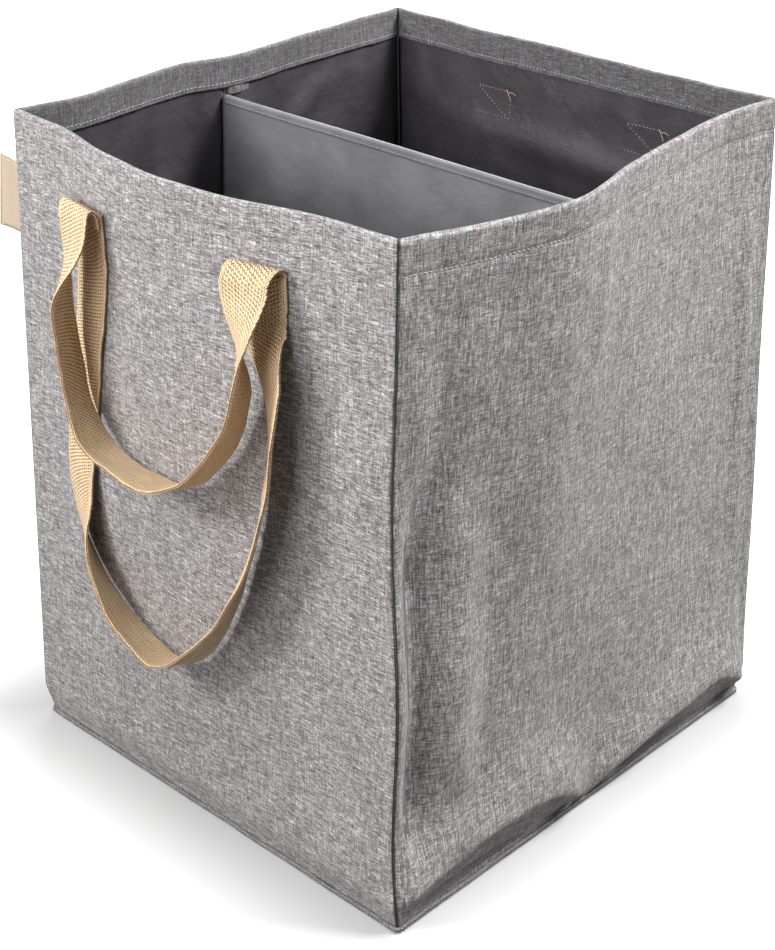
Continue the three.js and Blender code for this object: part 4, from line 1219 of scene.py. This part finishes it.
flat_run = np.linspace(TAG_ROOT, TAG_REACH, 10)
reach = np.concatenate([flat_run, TAG_REACH + np.cos(round_fold), flat_run[::-1]])
reach = np.concatenate([reach, reach[::-1] - TAG_TAPE])
aside = np.concatenate([hairpin(0.55, 0.95), hairpin(0.15, 0.5)[::-1]])
up = np.linspace(TAG_TOP - TAG_LONG, TAG_TOP, 20)[:, None]
curl = TAG_CURL * reach**2 * (up - TAG_TOP + TAG_CURL_FROM) + TAG_WAVE * np.sin(reach / 9) * ease(reach / 10)
corner_x = -half_at(WALL["front"], up) + 0.6
corner_y = -out_at(WALL["front"], -half_at(WALL["front"], up), up) + 0.4
points = in_metres(corner_x - reach, corner_y + aside + curl, up + 0.03 * reach)
tag = grid_object("tag_tape", [(points, in_metres(ring_run(reach, aside), up), "bar")])
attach(tag, "bag")
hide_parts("tag")

tag_material, work, shader = material("tag_satin")
place = work.use(cloth_place)
twill = ((place["U"] + place["V"]) * 7.0).sine()
work.fill(shader, {
    "Base Color": work.mix(work.span(twill, -1.0, 1.0), (0.4, 0.31, 0.22), (0.5, 0.4, 0.295)),
    "Normal": work.bump(twill, strength=0.4, distance=0.0002),
    "Roughness": 0.5,
})
dress(tag_material, tag)


# Sewing thread. Every stitch is a small rounded bar that lies on the cloth and dives into it at both ends.
# Grey thread holds the hem, the bottom rib and the divider's tape.
def stitch_row(path, out, pitch=3.6, length=2.4, radius=0.38):
    """Stitches along a path on a surface, with the surface's outward directions; both are in m."""
    run = run_along(path) / MM
    count = int(run[-1] / pitch)
    start = (np.arange(count) + 0.15) * run[-1] / count
    at = start[:, None] + length * np.array([0, 0.18, 0.82, 1])[None, :]
    place = np.stack([np.interp(at, run, path[:, k]) for k in range(3)], -1)
    normal = unit(np.stack([np.interp(at, run, out[:, k]) for k in range(3)], -1))
    ahead = unit(place[:, -1:] - place[:, :1])
    aside = unit(np.cross(ahead, normal))[:, :, None]
    height = radius * np.array([-0.7, 0.55, 0.55, -0.7])[None, :, None]
    centre = (place + normal * height * MM)[:, :, None]
    turn = np.linspace(0, 2 * math.pi, 6, endpoint=False)[:, None]
    slim = radius * np.array([0.5, 1, 1, 0.5])[None, :, None, None] * MM
    ring = centre + slim * (aside * np.cos(turn) + normal[:, :, None] * np.sin(turn))
    uv = np.zeros((4, 7, 2))
    return [(points, uv, "bar") for points in ring]


def sew(name, rows):
    """One object of many rows of stitches, sewn to the bag."""
    seam = grid_object(name, [part for row in rows for part in row])
    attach(seam, "bag")
    return seam


def sewn_on(skin, raised, *sizes):
    """A row of stitches on a row of points, with the same points raised off the surface to say its outside."""
    return stitch_row(skin, unit(raised - skin), *sizes)


rows = []
for wall in WALLS:
    share = np.linspace(-0.985, 0.985, 500)
    for z, depth, off in ((STITCH_Z, 0.0, 1.0), (HEM_LOW + 3.6, HEM_FACE, -1.0)):
        height = z + 0 * share
        skin = shell_point(wall, share, height, depth)
        rows.append(sewn_on(skin, shell_point(wall, share, height, depth, off=off)))
hem_stitches = sew("hem_stitches", rows)

path = foot_path(1400)
rows = []
for angle in (0.62, -0.5):
    rows.append(sewn_on(rib_point(*path, angle), rib_point(*path, angle, off=0.5), 3.2, 2.4, 0.24))
rib_stitches = sew("rib_stitches", rows)

rows = []
for side in (-1, 1):
    x = np.linspace(side_x("left", DIVIDER_Y, 480, 8), side_x("right", DIVIDER_Y, 480, 8), 400)
    z = DIVIDER_TOP - 5.2 + 0 * x
    skin = in_metres(x, DIVIDER_Y + side * TAPE_SIDE + divider_sway(x, z), z)
    rows.append(stitch_row(skin, np.array([[0.0, side, 0.0]]).repeat(400, 0), 3.2, 2.3, 0.26))
tape_stitches = sew("tape_stitches", rows)
dress(spun("grey_thread", (0.34, 0.34, 0.345), 0.55, 900.0, 0.25), hem_stitches, rib_stitches, tape_stitches)

# The webbing's patches are sewn through to the lining: their box of stitches with one diagonal shows there,
# in grey thread, and cream ends of the outer thread are left standing at one corner.
BOX_LOW, BOX_HIGH, BOX_HALF, BOX_SHIFT = 447.0, 470.0, 19.0, 8.0


def lining_skin(wall, along, z, off=0.0):
    """Point of the inner face of an end wall's lining, moved into the bin by a distance."""
    half, dent = half_at(wall, z), dent_at(wall["next"], z)
    share = 2 * (along + half) / (2 * half - dent) - 1
    return wall_point(wall, share, z, LINING_INNER, lining_relief(wall, along, z) - off)


def straight_row(start, end):
    """Places (distance along, height) in a straight row between two places."""
    mix = np.linspace(0, 1, 40)
    return [a + mix * (b - a) for a, b in zip(start, end)]


rows, loose = [], []
for name in ("front", "back"):
    wall = WALL[name]
    for centre in (BOX_SHIFT - SPREAD, SPREAD - BOX_SHIFT):
        left, right = centre - BOX_HALF, centre + BOX_HALF
        lines = [((left, BOX_HIGH), (right - 4, BOX_HIGH)), ((left, BOX_HIGH), (left, BOX_LOW)),
                 ((left, BOX_LOW), (right, BOX_LOW)), ((right - 4, BOX_HIGH - 1), (left + 4, BOX_LOW + 1))]
        for line in lines:
            along, z = straight_row(*line)
            rows.append(sewn_on(lining_skin(wall, along, z), lining_skin(wall, along, z, 1.0), 3.2, 1.8, 0.32))
        for k, reach in enumerate((9.0, 6.0)):
            mix = np.linspace(0, 1, 12)
            along = left + 1 + k * 2 - reach * mix
            z = BOX_HIGH - 1 + 3.0 * np.sin(mix * 2.2 + k) - 2.5 * mix * (1 + k)
            skin = lining_skin(wall, along, z, 0.5 + 2.2 * np.sin(mix * math.pi * 0.7))
            loose.append(sewn_on(skin, lining_skin(wall, along, z, 8.0), 1.0, 1.15, 0.3))
box_stitches = sew("box_stitches", rows)
dress(spun("light_thread", (0.3, 0.295, 0.295), 0.55, 900.0, 0.3), box_stitches)

# The same boxes outside, on the patches, with both diagonals, in thread of the webbing's colour. A loose end
# of such thread stands out of the bottom seam where the right wall is caught down.
PATCH_BOX_LOW, PATCH_BOX_HIGH, PATCH_BOX_HALF = 450.0, 466.5, 15.0
rows = []
for name in ("front", "back"):
    wall = WALL[name]
    for centre in (-SPREAD, SPREAD):
        corners = [(centre + side * PATCH_BOX_HALF, z) for side, z in
                   ((-1, PATCH_BOX_HIGH), (1, PATCH_BOX_HIGH), (1, PATCH_BOX_LOW), (-1, PATCH_BOX_LOW))]
        for start, end in ((0, 1), (1, 2), (2, 3), (3, 0), (0, 2), (3, 1)):
            x, z = straight_row(corners[start], corners[end])
            skin = in_metres(*turned(wall, x, -(face_at(wall, x, z) + PATCH_PROUD + 0.02)), z)
            outward = np.array([[*turned(wall, 0.0, -1.0), 0.0]]).repeat(len(x), 0)
            rows.append(stitch_row(skin, outward, 2.8, 2.1, 0.3))
patch_stitches = sew("patch_stitches", rows)

mix = np.linspace(0, 1, 10)
caught = face_at(WALL["right"], -8.0, 12.0)
path = in_metres(caught + 0.2 + 3.5 * mix, -9 + 3.0 * mix**2, 9 + 8 * mix)
loose.append(stitch_row(path, np.array([[1.0, 0, 0.3]]).repeat(10, 0), 1.0, 1.15, 0.3))
thread_ends = sew("thread_ends", loose)
dress(spun("cream_thread", (0.62, 0.5, 0.34), 0.6, 900.0, 0.2), patch_stitches, thread_ends)

# The stage: a white floor under a white world, as a cut-out product photograph has it. To the camera the
# paper glows up to white away from the hamper, and round the hamper it keeps its shadow.
mesh = bpy.data.meshes.new("floor")
mesh.from_pydata([(-40, -40, 0), (40, -40, 0), (40, 40, 0), (-40, 40, 0)], [], [(0, 1, 2, 3)])
stage_floor = bpy.data.objects.new("stage_floor", mesh)
bpy.context.scene.collection.objects.link(stage_floor)
paper, work, shader = material("paper")
seen = work.add("ShaderNodeLightPath", output="Is Camera Ray")
spot = work.parts("ShaderNodeSeparateXYZ", {0: work.add("ShaderNodeTexCoord", output="Object")})
away = work.math("MAXIMUM", abs(spot["X"]), abs(spot["Y"]))
work.fill(shader, {
    "Base Color": work.mix(seen, (0.15, 0.15, 0.15), (0.36, 0.36, 0.36)),
    "Roughness": 0.9,
    "Emission Color": (1, 1, 1),
    "Emission Strength": seen * work.span(away, 0.2, 0.33, 0.2, 0.9),
})
dress(paper, stage_floor)

world = bpy.data.worlds.new("studio")
bpy.context.scene.world = world
world.use_nodes = True
work = Tree(world.node_tree)
seen = work.add("ShaderNodeLightPath", output="Is Camera Ray")
work.fill(world.node_tree.nodes["Background"], {"Color": (1, 1, 1), "Strength": seen * 0.87 + 0.13})


def softbox(name, azimuth, elevation, distance, size, power):
    """A square area light that looks at the hamper's middle: azimuth is counted from the front to the right."""
    data = bpy.data.lights.new(name, "AREA")
    data.shape = "RECTANGLE"
    data.size = size
    data.size_y = size
    data.energy = power
    lamp = bpy.data.objects.new(name, data)
    turn, rise = math.radians(azimuth), math.radians(elevation)
    out, up = distance * math.cos(rise), distance * math.sin(rise)
    middle = 0.28
    lamp.location = (out * math.sin(turn), -out * math.cos(turn), middle + up)
    lamp.rotation_euler = (math.pi / 2 - rise, 0, turn)
    bpy.context.scene.collection.objects.link(lamp)


softbox("key", azimuth=-18, elevation=29, distance=1.5, size=0.4, power=16)
softbox("right", azimuth=130, elevation=54, distance=2.6, size=0.9, power=132)
softbox("overhead", azimuth=6, elevation=64, distance=2.2, size=1.1, power=17)
softbox("fill", azimuth=7, elevation=17, distance=2.3, size=1.1, power=23)
softbox("back", azimuth=222, elevation=30, distance=2.5, size=1.5, power=34)

bpy.context.scene.view_settings.view_transform = "Standard"
